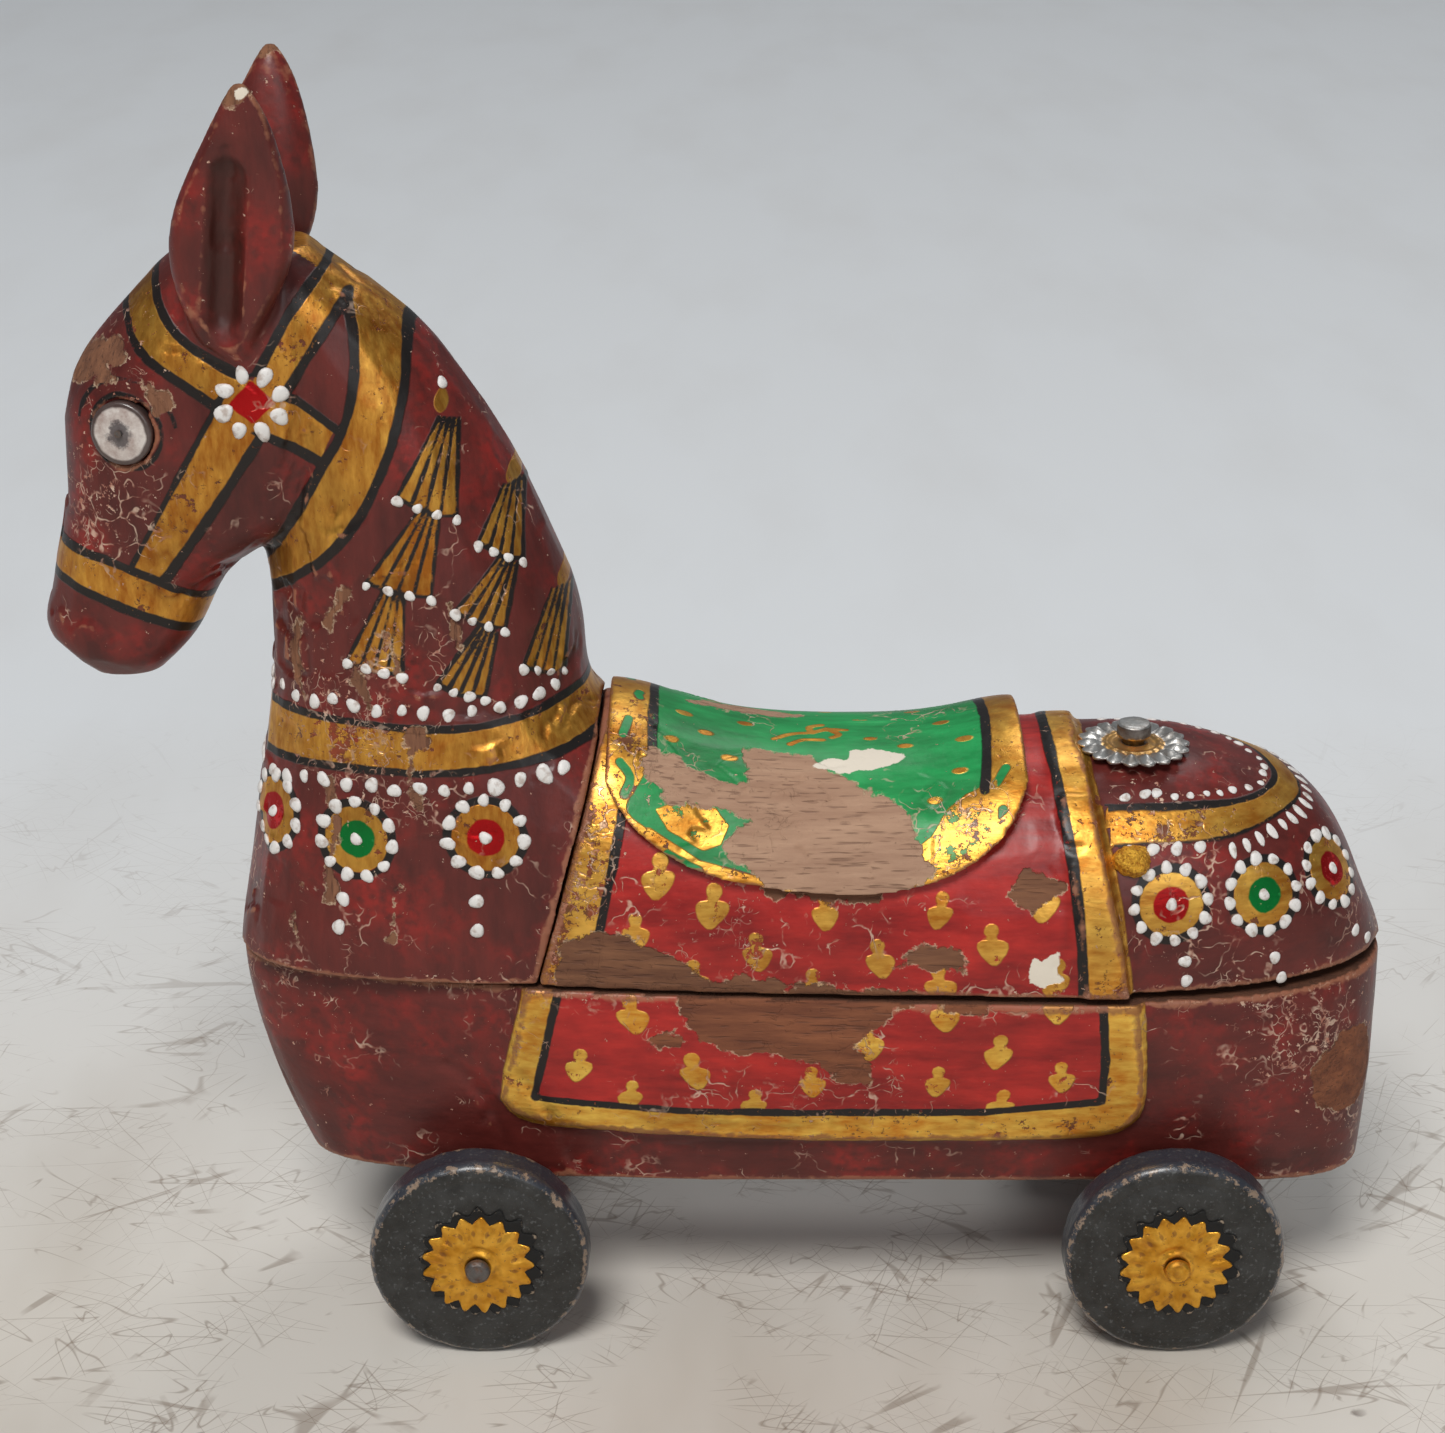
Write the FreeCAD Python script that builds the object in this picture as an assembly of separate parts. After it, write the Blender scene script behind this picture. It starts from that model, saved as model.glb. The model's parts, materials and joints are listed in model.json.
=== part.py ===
import FreeCAD, Part
import math
import os

# Carved and painted horse box on four wheels. Its lid is the upper half of the horse,
# and it swivels on a nail that stands in the rump.
# Millimetres. +Z is up, the head looks along -X, the horse's left side faces -Y,
# the floor is z = 0 and the origin lies on the floor under the middle of the box that bounds it.

Vector = FreeCAD.Vector

# Wheels and axles
WHEEL_RADIUS = 22.6
WHEEL_THICKNESS = 9.2
WHEEL_INNER_FACE = 33.6
WHEEL_EDGE_ROUND = 1.6
AXLE_RADIUS = 2.0
RUNNING_CLEARANCE = 0.05
FIXED_CLEARANCE = 0.02
FRONT_AXLE_X = -51.0
REAR_AXLE_X = 91.3
AXLE_END_HEAD_RADIUS = 3.1
AXLE_END_HEAD_LENGTH = 2.0
END_PLAY = 0.4

# Rosettes, pressed from thin sheet
WHEEL_ROSETTE_RADIUS = 11.5
WHEEL_ROSETTE_PETALS = 17
PIVOT_ROSETTE_RADIUS = 11.4
PIVOT_ROSETTE_PETALS = 18
ROSETTE_SHEET = 0.8
ROSETTE_DOME = 1.0

# Lower box, shaped like a short boat
BASE_BOTTOM = 33.0
SEAM = 80.0
SEAM_GAP = 0.5
REAR_GAP = 2.0
BOW_BOTTOM, BOW_SEAM = -88.5, -101.4
STERN_BOTTOM, STERN_SEAM = 133.8, 135.9
WIDEST_X = 75.0
HALF_WIDTH_BOTTOM, HALF_WIDTH_SEAM = 28.6, 34.4

# Wells in the lower box: front x, rear x, half width
WELL_FLOOR = 45.0
WELL_CORNER = 7.0
WELLS = [(-84.0, -54.0, 14.5), (-48.0, -13.0, 20.0), (-7.0, 28.0, 21.5)]

# Blanket, carved in relief on box and lid
BLANKET_RELIEF = 1.8
STRAP_RELIEF = 2.8
PANEL_RELIEF = 1.8
PANEL_OUTLINE = [(-40.7, 81.0), (81.6, 81.0), (83.4, 66.0), (84.0, 54.0), (82.6, 49.7), (78.0, 46.9),
                 (67.6, 45.6), (14.6, 45.0), (-20.0, 46.4), (-38.6, 48.0), (-44.0, 50.0), (-46.7, 54.1)]
BLANKET_FRONT_SEAM_X, BLANKET_FRONT_TOP_X = -38.3, -24.2
BLANKET_FRONT_TOP_Z = 134.0
STRAP_FRONT_TOP_X, STRAP_REAR_TOP_X = 64.0, 70.6
STRAP_FRONT_SEAM_X, STRAP_REAR_SEAM_X = 70.5, 80.3
STRAP_TOP_Z = 125.0

# Lid: height of its ridge along the back, as (x, z)
RIDGE = [(-46, 128.8), (-25, 128.4), (-10, 124.6), (5, 120.8), (24, 119.9), (40, 120.2), (55, 121.1),
         (68, 121.6), (80, 122.0), (92, 121.6), (103, 118.9), (112, 115.6), (119, 110.9), (125, 104.0),
         (129.8, 94.5), (133.0, 87.0), (135.2, 81.6)]
ARCH_POWER = 2.3
SADDLE_THICKNESS = 2.6
SADDLE_RIDGE = [(-25.5, 131.9), (-12, 128.6), (-2, 125.4), (9, 123.5), (24, 122.8), (36, 123.1), (47, 124.7),
                (60, 126.8)]

SADDLE_FRONT_X, SADDLE_REAR_X = -23.4, 57.6
SADDLE_SKIRT = [(-24.6, 121.5), (-17.5, 112.5), (-4.0, 105.2), (11.0, 102.4), (26.0, 101.8), (41.0, 104.4),
                (52.5, 111.0), (59.5, 121.0)]

# Neck rings: height, front x, widest x, back x, half width, front squareness
NECK = [(80.0, -101.4, -20, 14, 31.0, 3.3), (93, -99.3, -26, 8, 31.0, 3.0), (107, -97.0, -34, 2, 29.6, 2.6),
        (120, -95.0, -44, -10, 27.2, 2.3), (133, -93.0, -54, -26.6, 24.8, 2.1),
        (145.5, -91.6, -58, -28.9, 23.0, 2.1), (157, -91.5, -60, -31.2, 21.6, 2.1),
        (168, -92.5, -63, -35.4, 20.4, 2.1), (180, -95.0, -67, -40.6, 19.4, 2.1),
        (192.5, -98.0, -72, -47.6, 18.2, 2.1), (205, -100.0, -78, -56.6, 16.8, 2.1),
        (216.5, -100.0, -84, -69.0, 14.6, 2.1), (224.5, -98.0, -89, -79.8, 10.0, 2.1)]
# Head rings, from the chin to the crown
HEAD = [(138.0, -128.6, -121, -113.4, 8.2, 2.2), (141.0, -131.2, -121, -110.4, 11.4, 2.4),
        (144.0, -134.2, -121, -107.6, 12.8, 2.5), (148.0, -136.2, -120, -104.9, 13.3, 2.6),
        (155, -134.9, -118, -101.4, 13.8, 2.6), (162, -133.3, -114, -95.0, 15.6, 2.5),
        (170, -131.3, -108, -80, 17.6, 2.4),
        (181, -130.0, -103, -68, 19.0, 2.3), (192, -129.2, -100, -66, 19.4, 2.3),
        (201, -126.0, -97, -66, 18.8, 2.2), (210, -119.4, -95, -68, 17.4, 2.1),
        (218, -111.8, -94, -73, 15.2, 2.1), (224.0, -104.0, -92, -79.5, 11.4, 2.1)]
# Ear rings: height, front x, back x, middle y, half thickness
EAR = [(203.5, -97.0, -90.0, 16.4, 1.6), (210, -99.6, -88.0, 17.0, 3.4), (219, -103.0, -83.2, 17.2, 4.6),
       (228, -103.8, -80.2, 17.2, 5.0), (237, -101.4, -80.4, 17.6, 4.8), (246, -96.8, -82.0, 18.4, 4.0),
       (253.5, -92.6, -84.4, 19.4, 2.7), (258.2, -89.4, -87.2, 20.2, 1.0)]
EAR_GROOVE_RADIUS = 4.2
EAR_GROOVE_DEPTH = 2.4
EAR_GROOVE_LOW, EAR_GROOVE_HIGH = (-94.5, 211.0), (-90.5, 245.0)
EAR_OUTER_LOW, EAR_OUTER_HIGH = 21.0, 22.4

EYE_X, EYE_Z = -114.6, 191.4
EYE_RADIUS = 6.2
EYE_PROUD = 1.2
EYE_SEAT = 2.4
EYE_NAIL_RADIUS = 0.7
EYE_NAIL_LENGTH, EYE_NAIL_SEAT = 9.0, 7.0
EYE_TURNED_FORWARD, EYE_TURNED_UP = -0.22, 0.05

DOWEL_RADIUS = 4.0
DOWEL_LENGTH = 44.0
DOWEL_HEIGHTS = (95.0, 115.0)

# Pivot of the lid
PIVOT_X, PIVOT_Y = 82.0, -5.0
PIN_RADIUS = 2.2
PIN_TIP_Z = 44.0
PIN_POINT = 7.0
PIN_HEAD_RADIUS = 3.5
PIN_HEAD_LENGTH = 2.9
STUD_X, STUD_Z, STUD_RADIUS = 79.6, 106.4, 4.0

# Bearers under the box
BEARER_HALF_X = 9.0
BEARER_HALF_Y = 32.8
BEARER_LOW = 14.5
BEARER_BEVEL = 3.0
NAIL_RADIUS = 1.3
NAIL_HEAD_RADIUS = 2.7
NAIL_HEAD_LENGTH = 0.8
NAIL_TOP_Z = 41.0
NAIL_Y = 19.0

RING_STEPS = 9


def smooth_ring(points):
    curve = Part.BSplineCurve()
    curve.interpolate(Points=points, PeriodicFlag=True)
    return Part.Wire([curve.toShape()])


def mirrored(half):
    """Close a half outline, given from front to back on +y, with its mirror image."""
    back = [Vector(p.x, -p.y, p.z) for p in reversed(half[1:-1])]
    return half + back


def oval_ring(z, front, widest, back, half_width, squareness, back_squareness=2.1):
    """A flat ring at height z: two half ovals that meet at the widest place."""
    half = []
    for step in range(2 * RING_STEPS + 1):
        angle = math.pi * step / (2 * RING_STEPS)
        power = squareness if angle < math.pi / 2 else back_squareness
        reach = (widest - front) if angle < math.pi / 2 else (back - widest)
        along = math.copysign(abs(math.cos(angle)) ** (2 / power), math.cos(angle))
        across = math.sin(angle) ** (2 / power) if 0 < step < 2 * RING_STEPS else 0.0
        half.append(Vector(widest - reach * along, half_width * across, z))
    return smooth_ring(mirrored(half))


def loft(rings):
    return Part.makeLoft(rings, True, False)


def between(low, high, share):
    return low + (high - low) * share


def hull_ring(z, extra=0.0):
    """The lower box's outline at height z, grown sideways by extra."""
    rise = (z - BASE_BOTTOM) / (SEAM - BASE_BOTTOM)
    swell = 1 - (1 - rise) ** 1.7
    bow = between(BOW_BOTTOM, BOW_SEAM, swell)
    stern = between(STERN_BOTTOM, STERN_SEAM, swell)
    half_width = between(HALF_WIDTH_BOTTOM, HALF_WIDTH_SEAM, swell) + extra
    front_power = between(4.0, 2.0, rise), between(0.22, 0.30, rise)
    rear_power = between(6.0, 2.0, rise), between(0.27, 0.42, rise)
    half = []
    for step in range(2 * RING_STEPS + 1):
        angle = math.pi * step / (2 * RING_STEPS)
        reach = (WIDEST_X - bow) if angle < math.pi / 2 else (stern - WIDEST_X)
        power, root = front_power if angle < math.pi / 2 else rear_power
        along = abs(math.cos(angle)) ** 0.7
        across = max(0.0, 1 - along ** power) ** root
        side = -1 if angle < math.pi / 2 else 1
        half.append(Vector(WIDEST_X + side * reach * along, half_width * across, z))
    return smooth_ring(mirrored(half))


def seam_half_width(x):
    if x < WIDEST_X:
        share = (WIDEST_X - x) / (WIDEST_X - BOW_SEAM)
        return HALF_WIDTH_SEAM * max(0.0, 1 - share ** 2) ** 0.30
    share = (x - WIDEST_X) / (STERN_SEAM - WIDEST_X)
    return HALF_WIDTH_SEAM * max(0.0, 1 - share ** 2) ** 0.42


def arch(x, ridge, half_width):
    """An upright section of the lid: a squarish arch that stands on the seam."""
    points = []
    for step in range(13):
        angle = math.pi * step / 12
        side = math.copysign(abs(math.cos(angle)) ** (2 / ARCH_POWER), math.cos(angle))
        up = math.sin(angle) ** (2 / ARCH_POWER) if 0 < step < 12 else 0.0
        points.append(Vector(x, half_width * side, SEAM + (ridge - SEAM) * up))
    curve = Part.BSplineCurve()
    curve.interpolate(Points=points)
    return Part.Wire([curve.toShape(), Part.LineSegment(points[-1], points[0]).toShape()])


def back_body(ridge_line, grow_side=0.0, grow_top=0.0):
    return loft([arch(x, z + grow_top, seam_half_width(x) + grow_side) for x, z in ridge_line])


def side_prism(outline):
    """A prism across the whole width, from an outline given as (x, z)."""
    points = [Vector(x, -60, z) for x, z in outline]
    return Part.Face(Part.makePolygon(points + points[:1])).extrude(Vector(0, 120, 0))


def box(x0, x1, y0, y1, z0, z1):
    return Part.makeBox(x1 - x0, y1 - y0, z1 - z0, Vector(x0, y0, z0))


def upright_cylinder(radius, x, y, z0, z1):
    return Part.makeCylinder(radius, z1 - z0, Vector(x, y, z0))


def across_cylinder(radius, x, z, y0, y1):
    return Part.makeCylinder(radius, y1 - y0, Vector(x, y0, z), Vector(0, 1, 0))


def joint_plane_x(z):
    share = (z - SEAM) / (BLANKET_FRONT_TOP_Z - SEAM)
    return between(BLANKET_FRONT_SEAM_X, BLANKET_FRONT_TOP_X, share)


def one_solid(shape):
    solids = sorted(shape.Solids, key=lambda solid: solid.Volume)
    return solids[-1]


# Lower box with its wells, its carved panel and a rim that falls away to the rear
def base_box():
    rings = [BASE_BOTTOM, 40.0, 50.0, 60.0, 70.0, SEAM]
    body = loft([hull_ring(z) for z in rings])
    panel_body = loft([hull_ring(z, PANEL_RELIEF) for z in rings])
    body = body.fuse(panel_body.common(side_prism(PANEL_OUTLINE)))
    rim = side_prism([(-120, SEAM + 5), (-120, SEAM - SEAM_GAP), (-30, SEAM - SEAM_GAP),
                      (150, SEAM - REAR_GAP), (150, SEAM + 5)])
    body = body.cut(rim)
    for front, rear, half_width in WELLS:
        well = box(front, rear, -half_width, half_width, WELL_FLOOR, SEAM + 5)
        uprights = [edge for edge in well.Edges if abs(edge.tangentAt(edge.FirstParameter).z) > 0.9]
        body = body.cut(well.makeFillet(WELL_CORNER, uprights))
    body = body.cut(upright_cylinder(PIN_RADIUS + FIXED_CLEARANCE, PIVOT_X, PIVOT_Y, PIN_TIP_Z, SEAM))
    for x, y in bearer_nail_places():
        body = body.cut(upright_cylinder(NAIL_RADIUS + FIXED_CLEARANCE, x, y, BASE_BOTTOM - 1, NAIL_TOP_Z))
    return one_solid(body)


# Upper half behind the neck: back, blanket and strap in relief, rump
def lid_block():
    body = back_body(RIDGE)
    blanket = side_prism([(joint_plane_x(SEAM), SEAM), (joint_plane_x(150), 150),
                          (STRAP_FRONT_TOP_X - 3, 150), (STRAP_FRONT_TOP_X, STRAP_TOP_Z),
                          (STRAP_FRONT_SEAM_X, SEAM)])
    strap = side_prism([(STRAP_FRONT_SEAM_X, SEAM), (STRAP_FRONT_TOP_X, STRAP_TOP_Z),
                        (STRAP_FRONT_TOP_X - 3, 150), (STRAP_REAR_TOP_X - 4, 150),
                        (STRAP_REAR_TOP_X, STRAP_TOP_Z), (STRAP_REAR_SEAM_X, SEAM)])
    body = body.fuse(back_body(RIDGE, BLANKET_RELIEF, 1.2).common(blanket))
    body = body.fuse(back_body(RIDGE, STRAP_RELIEF, 1.7).common(strap))
    front = side_prism([(joint_plane_x(SEAM - 5), SEAM - 5), (joint_plane_x(150), 150), (-130, 150),
                        (-130, SEAM - 5)])
    body = body.cut(front)
    body = body.cut(upright_cylinder(PIN_RADIUS + RUNNING_CLEARANCE, PIVOT_X, PIVOT_Y, SEAM - 5, 150))
    body = body.cut(stud_shape(FIXED_CLEARANCE))
    return one_solid(body.cut(dowels()))


def saddle(lid):
    shell = back_body(SADDLE_RIDGE, BLANKET_RELIEF + SADDLE_THICKNESS, 0.0)
    skirt = [Vector(x, -60, z) for x, z in SADDLE_SKIRT]
    curve = Part.BSplineCurve()
    curve.interpolate(Points=skirt)
    front, rear = Vector(SADDLE_FRONT_X, -60, 150), Vector(SADDLE_REAR_X, -60, 150)
    outline = Part.Wire([Part.LineSegment(front, skirt[0]).toShape(), curve.toShape(),
                         Part.LineSegment(skirt[-1], rear).toShape(),
                         Part.LineSegment(rear, front).toShape()])
    prism = Part.Face(outline).extrude(Vector(0, 120, 0))
    return one_solid(shell.common(prism).cut(lid))


# Upright-grained block: chest, neck, head and ears in one, before the eyes and dowels are let in
def head_blank():
    neck = loft([oval_ring(*ring) for ring in NECK])
    head = loft([oval_ring(*ring, 2.4) for ring in HEAD])
    body = neck.fuse(head)
    for side in (-1, 1):
        body = body.fuse(ear(side))
    top = BLANKET_FRONT_TOP_Z
    joint = side_prism([(joint_plane_x(SEAM - 5), SEAM - 5), (joint_plane_x(top), top),
                        (40, top), (40, SEAM - 5)])
    return body.cut(joint)


def head_neck(blank):
    for side in (-1, 1):
        blank = blank.cut(eye_disc(side)).cut(eye_nail(side))
    return one_solid(blank.cut(dowels()))


def ear(side):
    rings = []
    for z, front, back, middle, half_thickness in EAR:
        points = []
        for step in range(12):
            angle = 2 * math.pi * step / 12
            x = (front + back) / 2 + (back - front) / 2 * math.cos(angle)
            points.append(Vector(x, side * (middle + half_thickness * math.sin(angle)), z))
        rings.append(smooth_ring(points))
    leaf = loft(rings)
    reach = EAR_GROOVE_RADIUS - EAR_GROOVE_DEPTH
    low = Vector(EAR_GROOVE_LOW[0], side * (EAR_OUTER_LOW + reach), EAR_GROOVE_LOW[1])
    high = Vector(EAR_GROOVE_HIGH[0], side * (EAR_OUTER_HIGH + reach), EAR_GROOVE_HIGH[1])
    run = high - low
    groove = Part.makeCylinder(EAR_GROOVE_RADIUS, run.Length, low, run)
    for end in (low, high):
        groove = groove.fuse(Part.makeSphere(EAR_GROOVE_RADIUS, end))
    return leaf.cut(groove)


def surface_y(body, side, x, z):
    """How far out the body's side lies at x, z."""
    ray = Part.makeLine(Vector(x, side * 60, z), Vector(x, 0, z))
    return max(abs(vertex.Y) for vertex in body.common(ray).Vertexes)


def eye_facing(side):
    return Vector(EYE_TURNED_FORWARD, side, EYE_TURNED_UP)


def eye_disc(side):
    back = Vector(EYE_X, side * (EYE_SURFACE_Y - EYE_SEAT), EYE_Z)
    return Part.makeCylinder(EYE_RADIUS, EYE_SEAT + EYE_PROUD, back, eye_facing(side))


def eye_nail(side):
    tip = Vector(EYE_X + 1.0, side * (EYE_SURFACE_Y - EYE_NAIL_SEAT), EYE_Z)
    return Part.makeCylinder(EYE_NAIL_RADIUS, EYE_NAIL_LENGTH, tip, eye_facing(side))


def dowels():
    pegs = []
    slope = Vector(BLANKET_FRONT_TOP_Z - SEAM, 0, BLANKET_FRONT_SEAM_X - BLANKET_FRONT_TOP_X).normalize()
    for z in DOWEL_HEIGHTS:
        middle = Vector(joint_plane_x(z), 0, z)
        start = middle - slope * (DOWEL_LENGTH / 2)
        pegs.append(Part.makeCylinder(DOWEL_RADIUS, DOWEL_LENGTH, start, slope))
    return Part.makeCompound(pegs)


def stud_shape(extra=0.0):
    ball = Part.makeSphere(STUD_RADIUS, Vector(0, 0, 0))
    ball.translate(Vector(STUD_X, STUD_Y + 0.6, STUD_Z))
    shank = across_cylinder(1.4 + extra, STUD_X, STUD_Z, STUD_Y, STUD_Y + 12)
    return shank if extra else ball.fuse(shank)


# Thin sheet rosette, facing +Z at the origin: fluted petals around a low dome
def rosette(radius, petals, bore, dome):
    points = []
    for petal in range(petals):
        for turn, reach in ((0.0, 0.86), (0.5, 1.0)):
            angle = 2 * math.pi * (petal + turn) / petals
            points.append(Vector(radius * reach * math.cos(angle), radius * reach * math.sin(angle), 0))
    sheet = Part.Face(Part.makePolygon(points + points[:1])).extrude(Vector(0, 0, ROSETTE_SHEET))
    crown = Part.makeCone(radius * 0.62, radius * 0.34, dome, Vector(0, 0, ROSETTE_SHEET))
    whole = sheet.fuse(crown)
    return whole.cut(Part.makeCylinder(bore, 20, Vector(0, 0, -5))).removeSplitter()


def wheel(side, x):
    """A turned disc: slightly crowned faces and rounded corners."""
    inner, outer = WHEEL_INNER_FACE, WHEEL_INNER_FACE + WHEEL_THICKNESS
    bore, rim, corner = AXLE_RADIUS + RUNNING_CLEARANCE, WHEEL_RADIUS, WHEEL_EDGE_ROUND
    crown = 0.5
    edges = [
        Part.LineSegment(Vector(bore, inner, 0), Vector(rim - corner, inner, 0)).toShape(),
        Part.Arc(Vector(rim - corner, inner, 0), Vector(rim - corner * 0.293, inner + corner * 0.293, 0),
                 Vector(rim, inner + corner, 0)).toShape(),
        Part.LineSegment(Vector(rim, inner + corner, 0), Vector(rim, outer - crown - corner, 0)).toShape(),
        Part.Arc(Vector(rim, outer - crown - corner, 0),
                 Vector(rim - corner * 0.293, outer - crown - corner * 0.293, 0),
                 Vector(rim - corner, outer - crown, 0)).toShape(),
        Part.LineSegment(Vector(rim - corner, outer - crown, 0),
                         Vector(WHEEL_ROSETTE_RADIUS, outer, 0)).toShape(),
        Part.LineSegment(Vector(WHEEL_ROSETTE_RADIUS, outer, 0), Vector(bore, outer, 0)).toShape(),
        Part.LineSegment(Vector(bore, outer, 0), Vector(bore, inner, 0)).toShape(),
    ]
    disc = Part.Face(Part.Wire(edges)).revolve(Vector(0, 0, 0), Vector(0, 1, 0), 360)
    if side < 0:
        disc = disc.mirror(Vector(0, 0, 0), Vector(0, 1, 0))
    disc.translate(Vector(x, 0, WHEEL_RADIUS))
    return disc


def wheel_rosette(side, x):
    flower = rosette(WHEEL_ROSETTE_RADIUS, WHEEL_ROSETTE_PETALS, AXLE_RADIUS + RUNNING_CLEARANCE,
                     ROSETTE_DOME)
    flower.rotate(Vector(0, 0, 0), Vector(1, 0, 0), -90 * side)
    flower.translate(Vector(x, side * (WHEEL_INNER_FACE + WHEEL_THICKNESS), WHEEL_RADIUS))
    return flower


def axle(x):
    rosette_top = WHEEL_INNER_FACE + WHEEL_THICKNESS + ROSETTE_SHEET + ROSETTE_DOME
    end = rosette_top + END_PLAY
    rod = across_cylinder(AXLE_RADIUS, x, WHEEL_RADIUS, -end, end)
    for side in (-1, 1):
        head = Part.makeCone(AXLE_END_HEAD_RADIUS, AXLE_END_HEAD_RADIUS * 0.8, AXLE_END_HEAD_LENGTH,
                             Vector(x, side * end, WHEEL_RADIUS), Vector(0, side, 0))
        rod = rod.fuse(head)
    return rod


def bearer(x):
    low, high, bevel = BEARER_LOW, BASE_BOTTOM, BEARER_BEVEL
    outline = [(x - BEARER_HALF_X, high), (x + BEARER_HALF_X, high), (x + BEARER_HALF_X, low + bevel),
               (x + BEARER_HALF_X - bevel, low), (x - BEARER_HALF_X + bevel, low),
               (x - BEARER_HALF_X, low + bevel)]
    block = side_prism(outline).common(box(-150, 150, -BEARER_HALF_Y, BEARER_HALF_Y, 0, 60))
    block = block.cut(across_cylinder(AXLE_RADIUS + FIXED_CLEARANCE, x, WHEEL_RADIUS, -60, 60))
    for nail_x, y in bearer_nail_places():
        block = block.cut(upright_cylinder(NAIL_RADIUS + FIXED_CLEARANCE, nail_x, y, 0, 60))
        block = block.cut(nail_head(nail_x, y))
    return block


def bearer_nail_places():
    """Nails pass beside the axle, one behind it and one in front."""
    offset = AXLE_RADIUS + NAIL_RADIUS + 1.2
    return [(x + turn * offset, turn * NAIL_Y) for x in (FRONT_AXLE_X, REAR_AXLE_X) for turn in (-1, 1)]


def nail_head(x, y):
    """Nail heads are sunk flush into the bearer's underside."""
    return upright_cylinder(NAIL_HEAD_RADIUS, x, y, BEARER_LOW, BEARER_LOW + NAIL_HEAD_LENGTH)


def bearer_nails():
    nails = []
    for x, y in bearer_nail_places():
        shank = upright_cylinder(NAIL_RADIUS, x, y, BEARER_LOW, NAIL_TOP_Z - 0.5)
        nails.append(shank.fuse(nail_head(x, y)))
    return Part.makeCompound(nails)


def pivot_pin(seat_z):
    under_head = seat_z + ROSETTE_SHEET + ROSETTE_DOME + END_PLAY
    shank = upright_cylinder(PIN_RADIUS, PIVOT_X, PIVOT_Y, PIN_TIP_Z + PIN_POINT, under_head)
    point = Part.makeCone(0.3, PIN_RADIUS, PIN_POINT, Vector(PIVOT_X, PIVOT_Y, PIN_TIP_Z))
    head = Part.makeCone(PIN_HEAD_RADIUS, PIN_HEAD_RADIUS * 0.94, PIN_HEAD_LENGTH,
                         Vector(PIVOT_X, PIVOT_Y, under_head))
    return shank.fuse(point).fuse(head)


def pivot_rosette(seat_z):
    flower = rosette(PIVOT_ROSETTE_RADIUS, PIVOT_ROSETTE_PETALS, PIN_RADIUS + RUNNING_CLEARANCE,
                     ROSETTE_DOME)
    flower.translate(Vector(PIVOT_X, PIVOT_Y, seat_z))
    return flower


bare_head = head_blank()
EYE_SURFACE_Y = surface_y(bare_head, 1, EYE_X, EYE_Z)
bare_back = back_body(RIDGE)
STUD_Y = -surface_y(bare_back, -1, STUD_X, STUD_Z)
pivot_line = Part.makeLine(Vector(PIVOT_X, PIVOT_Y, 60), Vector(PIVOT_X, PIVOT_Y, 200))
ROSETTE_SEAT = max(vertex.Z for vertex in bare_back.common(pivot_line).Vertexes) - 0.2

parts = {"base_box": base_box(), "neck_dowels": dowels()}
lid = lid_block()
seat = upright_cylinder(PIVOT_ROSETTE_RADIUS + 0.4, PIVOT_X, PIVOT_Y, ROSETTE_SEAT, 200)
parts["lid_block"] = one_solid(lid.cut(seat))
parts["saddle"] = saddle(lid)
parts["head_neck"] = head_neck(bare_head)
for name, side in (("left", -1), ("right", 1)):
    disc, nail = eye_disc(side), eye_nail(side)
    parts["eye_" + name] = disc.cut(nail)
    parts["eye_nail_" + name] = nail
parts["strap_stud"] = stud_shape().cut(lid)
parts["pivot_pin"] = pivot_pin(ROSETTE_SEAT)
parts["pivot_rosette"] = pivot_rosette(ROSETTE_SEAT)
parts["bearer_nails"] = bearer_nails()
for place, x in (("front", FRONT_AXLE_X), ("rear", REAR_AXLE_X)):
    parts[place + "_bearer"] = bearer(x)
    parts[place + "_axle"] = axle(x)
    for name, side in (("left", -1), ("right", 1)):
        parts["wheel_" + place + "_" + name] = wheel(side, x)
        parts["rosette_" + place + "_" + name] = wheel_rosette(side, x)

os.makedirs("parts", exist_ok=True)
for name, shape in parts.items():
    shape.exportStep("parts/" + name + ".step")
    bounds = shape.BoundBox
    print("%-22s %s %7.1f cm3  x %.1f..%.1f y %.1f..%.1f z %.1f..%.1f" % (
        name, shape.isValid(), shape.Volume / 1000, bounds.XMin, bounds.XMax, bounds.YMin, bounds.YMax,
        bounds.ZMin, bounds.ZMax))
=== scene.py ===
# %% [markdown]
# # A carved and painted horse box on wheels
#
# The toy is a horse carved from light wood, lacquered dark red and painted with a gilded bridle, a
# blanket and strings of white dots. Its lower half is a box. Its back, neck and head are the lid, which
# swings sideways on one nail in the rump. Four turned wheels run on two iron rods.
#
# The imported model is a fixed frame: it says where every piece is and how it moves. This file builds the
# looks around it. Lengths are worked out in millimetres and turned into metres when a mesh is made.

# %% Load the frame
import bpy
import bmesh
import json
import math
import numpy as np
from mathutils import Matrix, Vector, noise
from mathutils.bvhtree import BVHTree

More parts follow.
